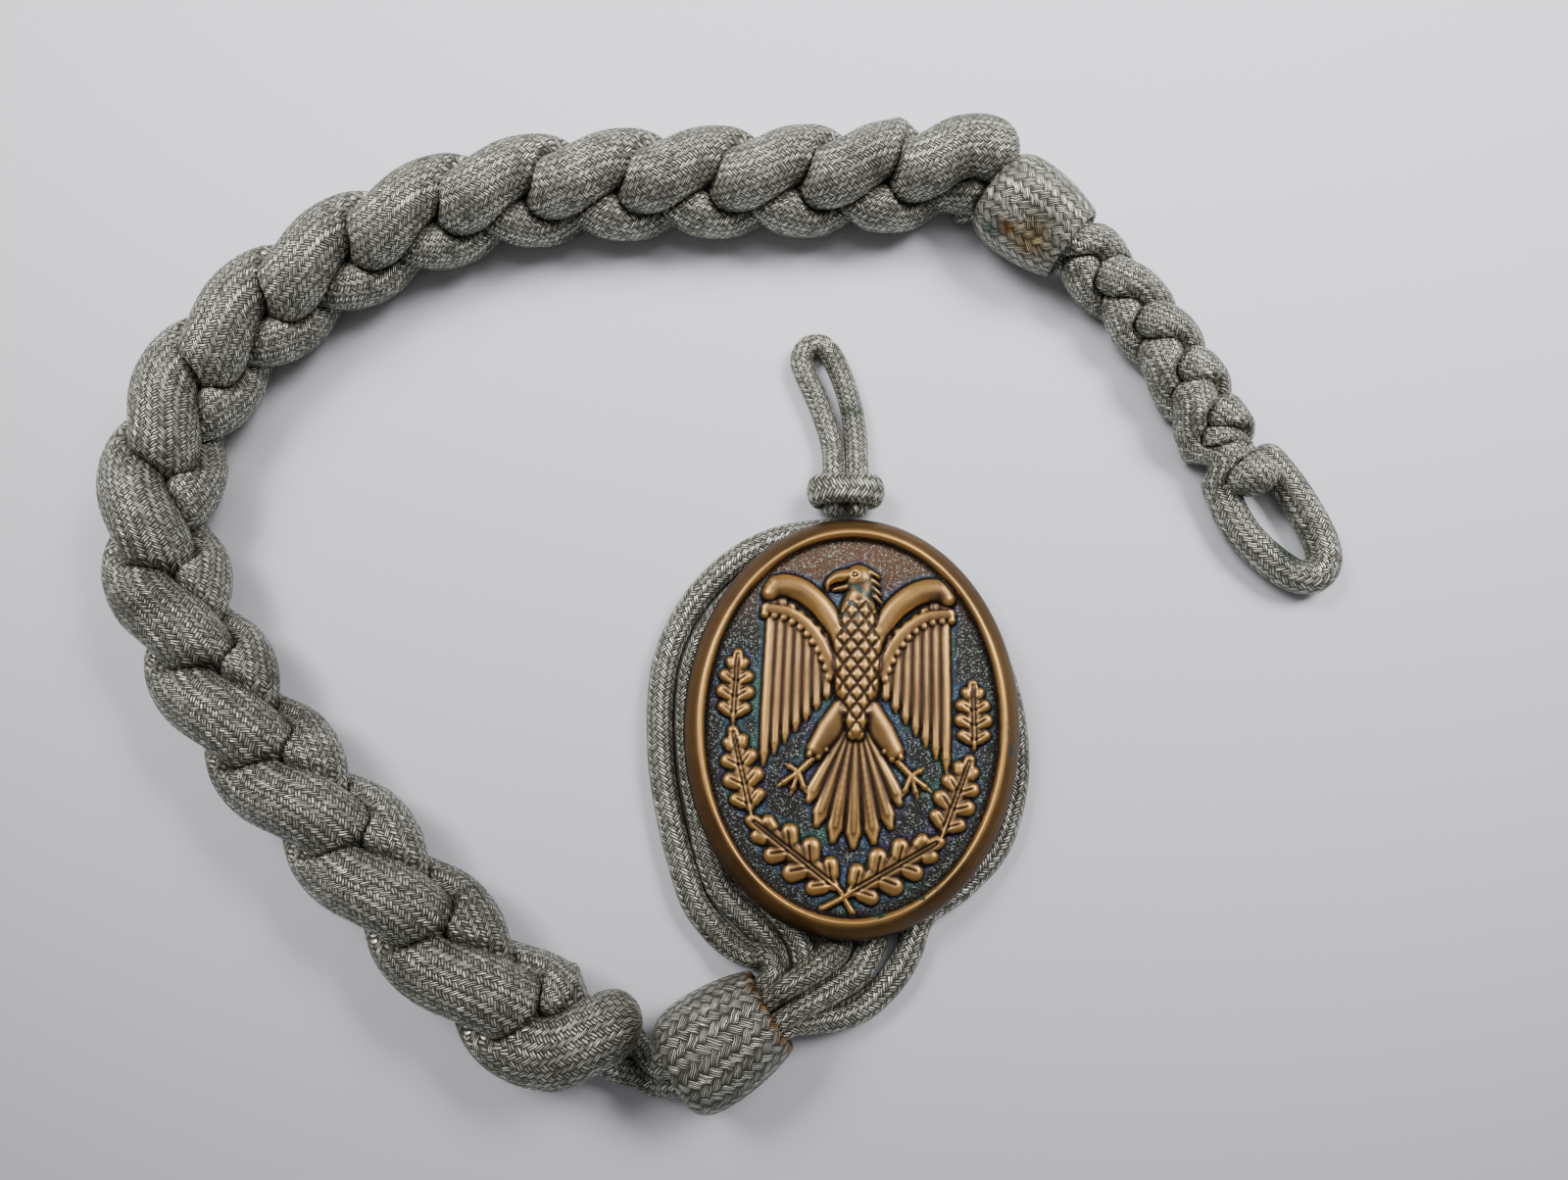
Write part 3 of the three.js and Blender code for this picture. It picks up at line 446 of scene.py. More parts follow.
# Shoulder loop: a doubled cord above the plaque with a turn of cord round its legs, which holds them side
# by side so that only a narrow slot is left. One leg has a spot of verdigris.
SHOULDER = [
    (7.1, 10.2, 2.2), (7.2, 12.2, 3.35), (7.2, 16.4, 3.25), (7.2, 20.0, 1.7), (6.8, 22.4, 1.63),
    (5.4, 27.0, 1.63), (3.6, 31.4, 1.63), (2.6, 34.2, 1.63), (3.4, 36.5, 1.63), (5.6, 36.9, 1.63),
    (7.2, 35.0, 1.63), (8.7, 31.4, 1.63), (9.9, 27.0, 1.63), (10.5, 22.6, 1.63), (10.6, 20.0, 1.7),
    (10.5, 16.4, 3.25), (10.5, 12.2, 3.35), (10.4, 10.2, 2.2),
]
shoulder_silver = woven_silver("shoulder_loop_thread", THREADS, stains=[((9.9, 26.0, 3), 2.2, "#3c7560", 0.7)])
piece = cord_piece("shoulder_loop", SHOULDER, 3.3, 12, neck=3.1, taper=9)
piece.data.materials.append(shoulder_silver)

# The turn of cord lies round both legs like a ring: its section is a little wider than it is thick.
WRAP = dict(
    x=8.85, y=13.7, middle=3.4, height=4.3, half_width=4.35, half_thick=2.2, cord=1.2, yarns=8, sides=24,
    yarn_pitch=0.8, relief=0.06,
)
turn_angle = np.arange(97) / 96 * 2 * math.pi
section_angle = -np.arange(WRAP["sides"]) / WRAP["sides"] * 2 * math.pi
ring_x = WRAP["half_width"] * np.sign(np.cos(turn_angle)) * np.abs(np.cos(turn_angle)) ** 0.8
ring_z = WRAP["half_thick"] * np.sin(turn_angle)
outward_x, outward_z = np.cos(turn_angle), np.sin(turn_angle)
wrap_gone = np.concatenate([[0], np.cumsum(np.hypot(np.diff(ring_x), np.diff(ring_z)))])
wrap_v = wrap_gone / WRAP["yarn_pitch"]
wrap_u = WRAP["yarns"] * np.arange(WRAP["sides"]) / WRAP["sides"]
wrap_skin = 1 + WRAP["relief"] * lapped(wrap_u, wrap_v[:, None])
bulge = WRAP["cord"] * np.cos(section_angle) * wrap_skin
along_y = WRAP["height"] / 2 * np.sin(section_angle) * wrap_skin
wrap_places = np.stack(
    [
        WRAP["x"] + ring_x[:, None] + outward_x[:, None] * bulge,
        WRAP["y"] + along_y,
        WRAP["middle"] + ring_z[:, None] + outward_z[:, None] * bulge,
    ],
    axis=-1,
)
wrap = tube("loop_wrap", WRAP["sides"], wrap_places, (WRAP["yarns"], wrap_v))
wrap.data.materials.append(silver_cord)
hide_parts("loop_wrap")
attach(wrap, "root")


# Sleeves: barrels woven from the same thread that cover the two joints, open at both ends, widest near
# the braid. The lower one has a rust brown rim, and the upper one an orange spot.
SLEEVE = dict(width=14.3, length=14.4, bore=9.6, pitch=0.3, relief=0.06, yarns=30, sides=150)
# Half section from the braid's end round the outside to the rim: share of the length, share of the width.
SLEEVE_OUTSIDE = [
    (-0.497, 0.352), (-0.5, 0.366), (-0.485, 0.4), (-0.44, 0.44), (-0.37, 0.474), (-0.28, 0.494),
    (-0.18, 0.5), (-0.06, 0.5), (0.06, 0.49), (0.18, 0.473), (0.3, 0.448), (0.4, 0.42),
    (0.46, 0.4), (0.49, 0.383), (0.5, 0.362), (0.495, 0.345),
]


def sleeve_piece(name, material):
    """A sleeve: its section goes round the outside and back through the bore, and turns round its axis."""
    x, y, facing = SLEEVES[name]
    width, length, sides = SLEEVE["width"], SLEEVE["length"], SLEEVE["sides"]
    outside, gone = line_through([(a * length, r * width, 0) for a, r in SLEEVE_OUTSIDE])
    v_out = np.arange(0, gone[-1], SLEEVE["pitch"])
    out = np.stack([np.interp(v_out, gone, outside[:, k]) for k in (0, 1)], axis=-1)
    bore = SLEEVE["bore"] / 2
    inner = np.stack([np.linspace(length * 0.47, -length * 0.47, 12), np.full(12, bore)], axis=-1)
    section = np.vstack([out, inner, out[:1]])
    section_gone = np.concatenate([[0], np.cumsum(np.linalg.norm(np.diff(section, axis=0), axis=1))])
    u = SLEEVE["yarns"]
    v = section_gone * u / (math.pi * width)
    angle = np.arange(sides) / sides * 2 * math.pi
    raised = SLEEVE["relief"] * (lapped(u * np.arange(sides) / sides, v[:, None]) - 0.7)
    raised[len(out):] = 0
    raised[[0, -1]] = 0
    radius = section[:, 1:] + raised
    turn = math.radians(facing)
    forward = np.array([math.cos(turn), math.sin(turn), 0])
    left = np.array([-math.sin(turn), math.cos(turn), 0])
    ring = left * np.cos(angle)[:, None] + np.array([0, 0, 1]) * np.sin(angle)[:, None]
    places = np.array([x, y, SLEEVE_HEIGHT]) + section[:, :1, None] * forward + radius[..., None] * ring
    places[..., 2] = np.maximum(places[..., 2], 0)
    piece = tube(name, sides, places, (u, v))
    piece.data.materials.append(material)
    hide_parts(name)
    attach(piece, "root")


RUST = "#d38f45"
rust_stains = []
for angle in np.radians(range(-90, 181, 27)):
    on_rim_turn = at_sleeve("lower_sleeve", 7.3, 5.2 * math.cos(angle), 5.2 * math.sin(angle))
    rust_stains.append((on_rim_turn, 1.7, RUST, 1.0))
lower_weave = woven_silver("lower_sleeve_weave", SLEEVE_THREADS, stains=rust_stains)
upper_weave = woven_silver(
    "upper_sleeve_weave",
    SLEEVE_THREADS,
    stains=[
        (at_sleeve("upper_sleeve", -1.2, -6.0, 3.6), 1.9, "#dfa048", 1.0),
        (at_sleeve("upper_sleeve", 2.6, -5.6, 4.0), 4.4, "#d9c08c", 1.0),
        (at_sleeve("upper_sleeve", -3.1, -6.8, 1.7), 2.0, "#86b0a4", 0.8),
    ],
)
sleeve_piece("lower_sleeve", lower_weave)
sleeve_piece("upper_sleeve", upper_weave)


# Thick braid: three padded cords plaited tightly and rolled so that the outer row of lobes lies on top.
# They are pressed flat against each other, and each ends in a fat round tip beside a sleeve. Each is a
# tube of braided thread over soft padding.
THICK_HEIGHT = 7.3
STRAND_RELIEF = 0.17
THICK = dict(
    line=line_through(
        [
            [x, y, THICK_HEIGHT]
            for x, y in [
                (-17.5, -58.8), (-25, -59.0), (-32.2, -56.9), (-39.6, -51.5), (-47.4, -44.3), (-55.0, -36.9),
                (-63.5, -28.7), (-71.6, -20.4), (-78.3, -11.2), (-83.7, -1.9), (-86.8, 7.4), (-86.8, 17.1),
                (-84.5, 26.4), (-79.4, 35.0), (-71.8, 42.7), (-62.3, 49.6), (-52.1, 54.8), (-40.9, 58.3),
                (-27.9, 59.6), (-14.7, 60.2), (0, 60.4), (13.2, 61.0), (23.6, 62.2), (32.0, 62.4),
            ]
        ]
    ),
    width=8.9, swing=3.35, lift=2.15, first_lobe=16.6, lobe_change=-0.016, phase=0.105, gap=0.06, lap=2.3,
    roll=[(0, 46), (60, 46), (110, 56), (180, 66), (250, 60)],
    yarns=32, sides=80, pitch=0.45,
)
# Ends of each strand: which end, where, the side and lift it bends to, how much fatter, and over how far.
THICK_ENDS = {
    0: [("start", 0.2, 0.2, 2.3, 1.0, 11), ("finish", 241.5, -0.4, -2.6, 1, 8)],
    1: [("start", 5.5, -0.6, -1.6, 1, 8), ("finish", 248.5, -2.0, -0.2, 1.3, 11)],
    2: [("start", 8.0, 1.6, -2.8, 1, 8), ("finish", 251.5, 3.8, 1.2, 1.08, 11)],
}


def strand_at(braid, ends, strand, at):
    """Side, lift and radius of a strand in the braid's cross section at distances along the braid."""
    lobes = np.log(1 + braid["lobe_change"] * at / braid["first_lobe"]) / braid["lobe_change"]
    turn = 2 * math.pi / 3 * (lobes + braid["phase"] + strand)
    side = braid["swing"] * np.sin(turn)
    lift = braid["lift"] * np.sin(2 * turn)
    radius = np.full_like(at, braid["width"] / 2)
    for end, place, end_side, end_lift, fatter, bend in ends[strand]:
        inside = at - place if end == "start" else place - at
        bent = 1 - eased(inside / bend)
        side = side + (end_side - side) * bent
        lift = lift + (end_lift - lift) * bent
        radius = radius * (1 + (fatter - 1) * bent)
        short = np.clip(1 - inside / radius, 0, 1)
        radius = radius * np.sqrt(1 - short**2)
    return side, lift, radius


def strand_piece(name, braid, ends, strand):
    """One strand: a tube pressed against its neighbours, with the braided yarns raised on its skin."""
    start, finish = ends[strand][0][1], ends[strand][1][1]
    at = capped_stations(start, finish, braid["width"] / 2, braid["pitch"])
    sides = braid["sides"]
    angle = -np.arange(sides) / sides * 2 * math.pi
    side, lift, radius = strand_at(braid, ends, strand, at)
    ahead_side, ahead_lift, _ = strand_at(braid, ends, strand, at + 0.5)
    slant = np.stack([ahead_side - side, ahead_lift - lift], axis=-1) * 2
    steep = np.linalg.norm(slant, axis=-1)[:, None] + 1e-9
    facing = np.stack([np.cos(angle), np.sin(angle)])
    along = slant @ facing / steep
    reach = radius[:, None] / np.sqrt(1 - along**2 + along**2 / (1 + steep**2))
    roll_at, roll = zip(*braid["roll"])
    roll = np.radians(np.interp(at, roll_at, roll))
    up = np.stack([np.sin(roll), np.cos(roll)], axis=-1)
    for other in {0, 1, 2} - {strand}:
        other_side, other_lift, other_radius = strand_at(braid, ends, other, at)
        apart = np.stack([other_side - side, other_lift - lift], axis=-1)
        wall = apart + (braid["lap"] - 1) * (apart * up).sum(axis=-1, keepdims=True) * up
        wall /= np.linalg.norm(wall, axis=-1, keepdims=True)
        share = radius / np.maximum(radius + other_radius, 1e-6)
        room = np.maximum((apart * wall).sum(axis=-1) * share - braid["gap"] / 2, 0.05)
        toward = wall @ facing
        pressed = (toward > 0.02) & (other_radius > 0.05)[:, None]
        limit = np.where(pressed, room[:, None] / np.maximum(toward, 0.02), 1e3)
        reach = (reach**-10 + limit**-10) ** -0.1
    reach = np.where(radius[:, None] < 1e-6, 0, reach)
    middle, across, above = placed_on(braid["line"], at)
    travel = np.stack([at, side, lift], axis=-1)
    gone = np.concatenate([[0], np.cumsum(np.linalg.norm(np.diff(travel, axis=0), axis=1))])
    u = braid["yarns"]
    v = gone * u / (math.pi * braid["width"] * 1.1)
    raised = lapped(u * np.arange(sides) / sides, v[:, None]) - 0.6
    fade = np.minimum(radius / (braid["width"] / 4), 1)[:, None]
    skin = reach + STRAND_RELIEF * raised * fade
    out_side = side[:, None] + np.where(radius[:, None] < 1e-6, 0, skin) * facing[0]
    out_lift = lift[:, None] + np.where(radius[:, None] < 1e-6, 0, skin) * facing[1]
    outward = out_side * np.cos(roll)[:, None] - out_lift * np.sin(roll)[:, None]
    height = out_side * np.sin(roll)[:, None] + out_lift * np.cos(roll)[:, None]
    places = middle[:, None] + across[:, None] * outward[..., None] + above[:, None] * height[..., None]
    places[..., 2] = np.maximum(places[..., 2], 0)
    piece = tube(name, sides, places, (u, v))
    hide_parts(name)
    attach(piece, "root")
    return piece


thick_silver = woven_silver(
    "padded_braid_thread",
    THREADS,
    stains=[((-38, -53, 6), 6, "#8b8a6e", 0.7), ((-50, 51, 6), 5, "#a9c1b4", 0.6)],
)
for strand in range(3):
    piece = strand_piece(f"braid_strand_{strand + 1}", THICK, THICK_ENDS, strand)
    piece.data.materials.append(thick_silver)


# Thin braid between the upper sleeve and the button loop: three softer cords of the same thread. It
# turns over on its way, and its last turn lies across the legs of the loop.
THIN = dict(
    line=line_through(
        [
            (39.6, 52.9, 6.9), (43.4, 49.9, 6.6), (47.8, 45.8, 5.2), (52.2, 40.8, 4.6),
            (56.4, 34.4, 4.5), (59.9, 27.6, 4.4), (62.2, 22.0, 4.4), (64.8, 16.0, 4.2),
        ]
    ),
    width=6.0, swing=2.25, lift=1.5, first_lobe=10.6, lobe_change=-0.085, phase=0.15, gap=0.05, lap=1.7,
    roll=[(0, 40), (19, 35), (32, -5), (49, -15)],
    yarns=24, sides=60, pitch=0.35,
)
THIN_ENDS = {
    0: [("start", 0, 0.1, 1.9, 0.66, 7), ("finish", 44, 3.4, -1.5, 0.85, 6)],
    1: [("start", 0, 1.7, -1.2, 0.66, 7), ("finish", 47, -2.2, -1.5, 0.85, 6)],
    2: [("start", 0, -1.3, -0.9, 0.62, 8), ("finish", 49.8, 1.2, 1.6, 1.22, 10)],
}
for strand in range(3):
    piece = strand_piece(f"thin_strand_{strand + 1}", THIN, THIN_ENDS, strand)
    piece.data.materials.append(silver_cord)


# Plaque: one bronze casting with a rolled rim and a relief of an eagle over an oak wreath on a stippled
# ground. The ground is chemically darkened, and the raised parts are rubbed bright.
PLAQUE = dict(back=3.95, turned=math.radians(-2), half_width=22.8, half_height=28.5)
COLUMNS, ROWS = 280, 340
# Height of the ground and the rim over the back, by the long half axis of the oval through a place. The
# ovals are the edge's own, moved inwards, so their half axes differ by the same length.
AXES_DIFFER = 5.7
RIM_RADIUS = [0, 24.9, 25.1, 25.35, 25.6, 25.8, 25.95, 26.1, 26.4, 26.9, 27.5, 28.05, 28.35, 28.5]
RIM_HEIGHT = [2.6, 2.6, 2.66, 2.92, 3.36, 3.66, 3.78, 3.8, 3.7, 3.4, 2.92, 2.36, 1.9, 1.45]

face = bmesh.new()
bmesh.ops.create_grid(face, x_segments=COLUMNS, y_segments=ROWS, size=1.0)
plaque_mesh = bpy.data.meshes.new("bronze_plaque")
face.to_mesh(plaque_mesh)
face.free()
square = np.empty(len(plaque_mesh.vertices) * 3, np.float32)
plaque_mesh.vertices.foreach_get("co", square)
square = square.reshape(-1, 3).astype(float)
order = np.lexsort((square[:, 0].round(5), square[:, 1].round(5)))
a, b = square[:, 0], square[:, 1]
face_u = PLAQUE["half_width"] * a * np.sqrt(1 - b**2 / 2)
face_v = PLAQUE["half_height"] * b * np.sqrt(1 - a**2 / 2)
low, high = np.full_like(face_u, AXES_DIFFER + 0.1), np.full_like(face_u, PLAQUE["half_height"] + 0.1)
for _ in range(30):
    half_axis = (low + high) / 2
    outside = (face_u / (half_axis - AXES_DIFFER)) ** 2 + (face_v / half_axis) ** 2 > 1
    low, high = np.where(outside, half_axis, low), np.where(outside, high, half_axis)
face_radius = np.minimum(high, PLAQUE["half_height"])
relief = np.zeros_like(face_u)
MIDDLE_LINE = 0.5


def stroke(points, height, flatness=2.0, over=True):
    """Raises a rounded stroke: points are (u, v, half width). Returns how far across it each place is."""
    rows = np.array(points, float)
    if len(rows) == 1:
        rows = np.vstack([rows, rows + [1e-4, 0, 0]])
    ratio = np.full_like(face_u, 9.0)
    reach = rows[:, 2].max()
    near = (
        (face_u > rows[:, 0].min() - reach) & (face_u < rows[:, 0].max() + reach)
        & (face_v > rows[:, 1].min() - reach) & (face_v < rows[:, 1].max() + reach)
    )
    u, v = face_u[near], face_v[near]
    best = np.full_like(u, 9.0)
    for (u0, v0, r0), (u1, v1, r1) in zip(rows, rows[1:]):
        span = np.array([u1 - u0, v1 - v0])
        t = np.clip(((u - u0) * span[0] + (v - v0) * span[1]) / (span @ span), 0, 1)
        best = np.minimum(best, np.hypot(u - u0 - t * span[0], v - v0 - t * span[1]) / (r0 + (r1 - r0) * t))
    ratio[near] = best
    dome = height * (1 - np.clip(ratio, 0, 1) ** flatness) ** (1 / flatness)
    if over:
        relief[:] = np.maximum(relief, dome)
    return ratio


def smooth_row(points, count=24):
    """Points of a stroke with a smooth bend through them."""
    rows, gone = line_through(points)
    at = np.linspace(0, gone[-1], count)
    return np.stack([np.interp(at, gone, rows[:, k]) for k in range(3)], axis=-1)


def both_sides(points):
    """The same points, and those points mirrored in the eagle's middle line."""
    return [points, [(2 * MIDDLE_LINE - u, *rest) for u, *rest in points]]


def cut(points, depth):
    """How much a rounded groove of a depth takes off, or a fine raised line adds."""
    ratio = stroke(points, 0, over=False)
    return np.where(ratio < 1, depth * (1 - ratio**2), 0)


# Oak leaves, as foot, tip and width: four pairs of round lobes on a blade with a fine raised rib.
LEAVES = [
    ((-1.1, -22.0), (-13.6, -13.0), 6.2),
    ((-13.1, -12.6), (-16.1, -1.2), 5.2),
    ((-16.0, -0.5), (-15.7, 9.2), 4.8),
    ((-0.4, -22.6), (12.4, -15.0), 6.2),
    ((12.2, -14.6), (16.0, -4.1), 5.4),
    ((16.4, -3.0), (16.2, 6.0), 4.8),
]
BLADE = [(0.02, 0.14), (0.14, 0.46), (0.4, 0.56), (0.66, 0.5), (0.86, 0.4), (0.95, 0.3)]
LOBES = [(0.19, 0.6, 0.36), (0.41, 0.66, 0.44), (0.63, 0.6, 0.4), (0.83, 0.38, 0.32)]
for foot, tip, wide in LEAVES:
    foot, tip = np.array(foot), np.array(tip)
    spine = tip - foot
    left = np.array([-spine[1], spine[0]]) / np.linalg.norm(spine) * wide / 2
    half = wide / 2
    stroke([(*(foot + t * spine), share * half) for t, share in BLADE], 0.78, flatness=2.4)
    for along, across, radius in LOBES:
        for hand in (-1, 1):
            inner = foot + spine * (along - 0.05) + left * 0.3 * hand
            lobe = foot + spine * along + left * across * hand
            stroke([(*inner, radius * half), (*lobe, radius * half)], 0.86, flatness=2.2)
    for along, across, _ in LOBES[:3]:
        for hand in (-1, 1):
            root = foot + spine * (along - 0.1)
            lobe = foot + spine * (along + 0.02) + left * across * hand
            relief -= cut([(*root, 0.2), (*lobe, 0.14)], 0.16)
    relief -= cut([(*foot, 0.5), (*(foot + 0.92 * spine), 0.4)], 0.26) * (relief > 0.3)
    stroke([(*(foot - 0.02 * spine), 0.26), (*(foot + 0.92 * spine), 0.15)], 0.8)
for stem in [[(-3.4, -24.4, 0.45), (0.0, -22.6, 0.42)], [(0.6, -24.8, 0.5), (-1.2, -22.0, 0.38)]]:
    stroke(stem, 0.7)

# Wings: long flight feathers under a row of short coverts, which hang from a rounded arm.
FEATHERS = 7
SHAFT, SHAFT_RELIEF = 0.16, 0.1
for index in range(FEATHERS):
    t = index / (FEATHERS - 1)
    root = np.array([12.2 + (4.9 - 12.2) * t, 17.2 + (11.2 - 17.2) * t])
    tip = np.array([12.7 + (4.5 - 12.7) * t, -6.2 + (3.0 + 6.2) * t])
    shape = [
        (*root, 0.84), (*(root + 0.7 * (tip - root)), 0.8), (*(tip + (root - tip) * 0.07), 0.6), (*tip, 0.2)
    ]
    for feather in both_sides(shape):
        stroke(feather, 0.62, flatness=3.0)
        relief += cut([(u, v, SHAFT) for u, v, _ in feather[:3]], SHAFT_RELIEF)
ARM = smooth_row([
    (2.4, 8.6, 1.3), (3.4, 12.2, 1.5), (5.6, 15.6, 1.6),
    (8.6, 17.8, 1.75), (11.4, 18.2, 1.8), (12.6, 17.2, 1.3),
])
COVERTS = [(3.9, 6.6), (5.2, 9.8), (7.3, 12.7), (10.0, 14.5), (12.9, 15.0)]
covert_band = smooth_row([(u, v, 1.0) for u, v in COVERTS], 40)
for band in both_sides([tuple(row) for row in covert_band]):
    stroke(band, 0.85, flatness=3.0)
for u, v, _ in smooth_row([(u + 0.35, v - 0.75, 0) for u, v in COVERTS], 11):
    for scallop in both_sides([(u, v, 0.66)]):
        stroke(scallop, 0.85, flatness=3.0)
for arm in both_sides([tuple(row) for row in ARM]):
    stroke(arm, 1.25)

# Tail: a fan of seven feathers with rounded ends. The outer ones are shorter and stand 27 degrees out.
FAN = dict(side_feathers=3, outer=27, length=15.6, shorter=4.6)
FAN_SHAPE = [(0, 0.6), (0.5, 0.95), (0.88, 1.15), (1, 0.5)]
for index in range(-FAN["side_feathers"], FAN["side_feathers"] + 1):
    t = index / FAN["side_feathers"]
    turn = math.radians(FAN["outer"] * t)
    length = FAN["length"] - FAN["shorter"] * t * t
    foot = np.array([MIDDLE_LINE + t, -0.8])
    way = np.array([math.sin(turn), -math.cos(turn)])
    shape = [(*(foot + way * length * share), half) for share, half in FAN_SHAPE]
    stroke(shape, 0.62 + 0.12 * (1 - abs(t)), flatness=2.6)
    relief += cut([(u, v, SHAFT) for u, v, _ in shape[:3]], SHAFT_RELIEF)

# Legs: feathered thighs, ringed shanks and four toes with claws.
for thigh in both_sides([(2.2, 1.6, 1.7), (4.0, -1.4, 1.9), (5.6, -3.8, 1.5)]):
    stroke(thigh, 1.0)
for hem in both_sides([(4.4, -3.9, 0.55)]) + both_sides([(5.4, -4.9, 0.55)]) + both_sides([(6.6, -4.6, 0.55)]):
    stroke(hem, 0.9)
for ring in range(5):
    t = ring / 4
    for shank in both_sides([(6.2 + 1.8 * t, -5.2 - 1.8 * t, 0.56)]):
        stroke(shank, 0.72)
for toe in [(7.0, -9.6), (8.9, -9.9), (10.6, -8.9), (9.6, -6.0)]:
    start = np.array([8.0, -7.0])
    way = np.array(toe) - start
    for bone in both_sides([(*start, 0.5), (*(start + way * 0.62), 0.42), (*(start + way * 0.7), 0.52)]):
        stroke(bone, 0.68)
    for claw in both_sides([(*(start + way * 0.8), 0.34), (*(start + way * 1.05), 0.12)]):
        stroke(claw, 0.5)

# Body, neck and head: a scaled trunk that narrows to the tail, and a head in profile with a hooked beak.
trunk = smooth_row([
    (0.6, 17.0, 2.0), (0.55, 14.0, 2.9), (0.5, 10.0, 3.7), (0.5, 6.0, 3.4), (0.5, 2.0, 2.4), (0.5, -1.4, 1.5),
])
across_trunk = stroke([tuple(row) for row in trunk], 1.5)
SCALE_WIDTH, SCALE_LENGTH = 1.9, 2.5
scale_u, scale_v = (face_u - MIDDLE_LINE) / SCALE_WIDTH, face_v / SCALE_LENGTH
off_a, off_b = (np.abs(np.mod(way, 1) - 0.5) for way in (scale_u + scale_v, scale_u - scale_v))
cushion = 1 - (2 * np.maximum(off_a, off_b)) ** 3
scales = 0.3 * (cushion - 0.5) * eased((1 - across_trunk) * 3)
relief += np.where((across_trunk < 1) & (face_v < 16.4), scales, 0)
stroke([(0.8, 16.6, 1.8), (0.7, 18.8, 2.25)], 1.35)
stroke([(0.5, 19.5, 2.2)], 1.45)
stroke(smooth_row([(-0.6, 20.0, 1.15), (-2.4, 19.8, 0.85), (-3.7, 18.9, 0.5), (-3.8, 17.9, 0.16)]), 1.2)
stroke(smooth_row([(-0.8, 18.5, 0.6), (-2.0, 18.2, 0.42), (-3.0, 18.0, 0.2)]), 0.9)
eye = stroke([(-0.1, 20.1, 0.62)], 0, over=False)
relief += np.where(eye < 1, 0.22 * np.cos(eye * 2 * math.pi), 0)
for crest in range(4):
    stroke([(2.0 + 0.25 * crest, 20.6 - 1.15 * crest, 0.5), (3.3 + 0.1 * crest, 19.9 - 1.2 * crest, 0.22)], 1.0)

relief *= np.clip((25.4 - face_radius) / 0.6, 0, 1)
rim = np.interp(face_radius, RIM_RADIUS, RIM_HEIGHT)
face_height = rim + relief


def softened(values, times):
    """Values of the face averaged with their neighbours a number of times."""
    grid = values[order].reshape(ROWS + 1, COLUMNS + 1)
    for _ in range(times):
        wide = np.pad(grid, 1, mode="edge")
        grid = (wide[1:-1, 1:-1] * 2 + wide[:-2, 1:-1] + wide[2:, 1:-1] + wide[1:-1, :-2] + wide[1:-1, 2:]) / 6
    result = np.empty_like(values)
    result[order] = grid.ravel()
    return result


face_height = softened(face_height, 1)
hollow = np.clip((softened(face_height, 10) - face_height) / 0.12, 0, 1)
worn = np.clip((face_height - softened(face_height, 14)) / 0.16 + 0.15, 0, 1)
raised_share = np.clip(relief / 0.45, 0, 1)
halo = softened(raised_share, 60) * (1 - raised_share)



def on_plaque(u, v, height):
    """Places of the frame, in metres, from the plaque's own u, v and height in millimetres."""
    turn = PLAQUE["turned"]
    x = BADGE_MIDDLE[0] + u * math.cos(turn) - v * math.sin(turn)
    y = BADGE_MIDDLE[1] + u * math.sin(turn) + v * math.cos(turn)
    return (np.stack([x, y, PLAQUE["back"] + height], axis=-1) - PLAN_MIDDLE) * MM


plaque_mesh.vertices.foreach_set("co", on_plaque(face_u, face_v, face_height).astype(np.float32).ravel())
radius_share = face_radius / PLAQUE["half_height"]
readings = dict(hollow=hollow, worn=worn, raised=raised_share, halo=halo, radius=radius_share)
for name, values in readings.items():
    plaque_mesh.attributes.new(name, "FLOAT", "POINT").data.foreach_set("value", values.astype(np.float32))
body = bmesh.new()
body.from_mesh(plaque_mesh)
edge = [e for e in body.edges if e.is_boundary]
centre = Vector(on_plaque(np.zeros(1), np.zeros(1), np.zeros(1))[0])
# Below its rim the side goes straight down, turns in a little and ends at the flat back.
for height, shrink in ((0.9, 1.0), (0.25, 0.988), (0.0, 0.962)):
    grown = bmesh.ops.extrude_edge_only(body, edges=edge)["geom"]
    edge = [e for e in grown if isinstance(e, bmesh.types.BMEdge) and e.is_boundary]
    for vert in {v for e in edge for v in e.verts}:
        vert.co.z = centre.z + height * MM
        vert.co.xy = centre.xy + (vert.co.xy - centre.xy) * shrink / (0.988 if height == 0.0 else 1)
bmesh.ops.edgeloop_fill(body, edges=edge)
bmesh.ops.recalc_face_normals(body, faces=body.faces)
for polygon in body.faces:
    polygon.smooth = len(polygon.verts) == 4
body.to_mesh(plaque_mesh)
body.free()
badge = bpy.data.objects.new("bronze_plaque", plaque_mesh)
bpy.context.collection.objects.link(badge)

# Antique bronze: a cast copper and tin alloy, darkened with liver of sulphur and then relieved with a
# mop, so high places are warm and bright and corners are nearly black, with a little green verdigris.
# Noise scales are cells in a metre. The stipple's 4200 gives grains of about 0.24 mm, drawn a little
# coarser than the real ones.
BRONZE_BRIGHT = "#c49858"
BRONZE_DARK = "#483629"
# Painted shade: a darker brown for the rim's outer slope, where it faces away from the lamps.
RIM_SLOPE_SHADE = "#735634"
GROUND_GREY = "#2c2b28"
GROUND_WARM = "#5a4434"
SPECK = "#a7b0aa"
# Near black, both for the real patina in the hollows and as painted shade on the rim's outer fall and side.
PATINA_AND_SHADE_BLACK = "#14100c"
LUSTRE = ("#54406c", "#4c6a90", "#4f8478")
VERDIGRIS = "#07352b"
bronze, tree, shader = new_material("antique_bronze", 0.85, 0.38)


def reading(name):
    """One of the plaque's own attributes."""
    return add(tree, "ShaderNodeAttribute", attribute_name=name).outputs["Fac"]


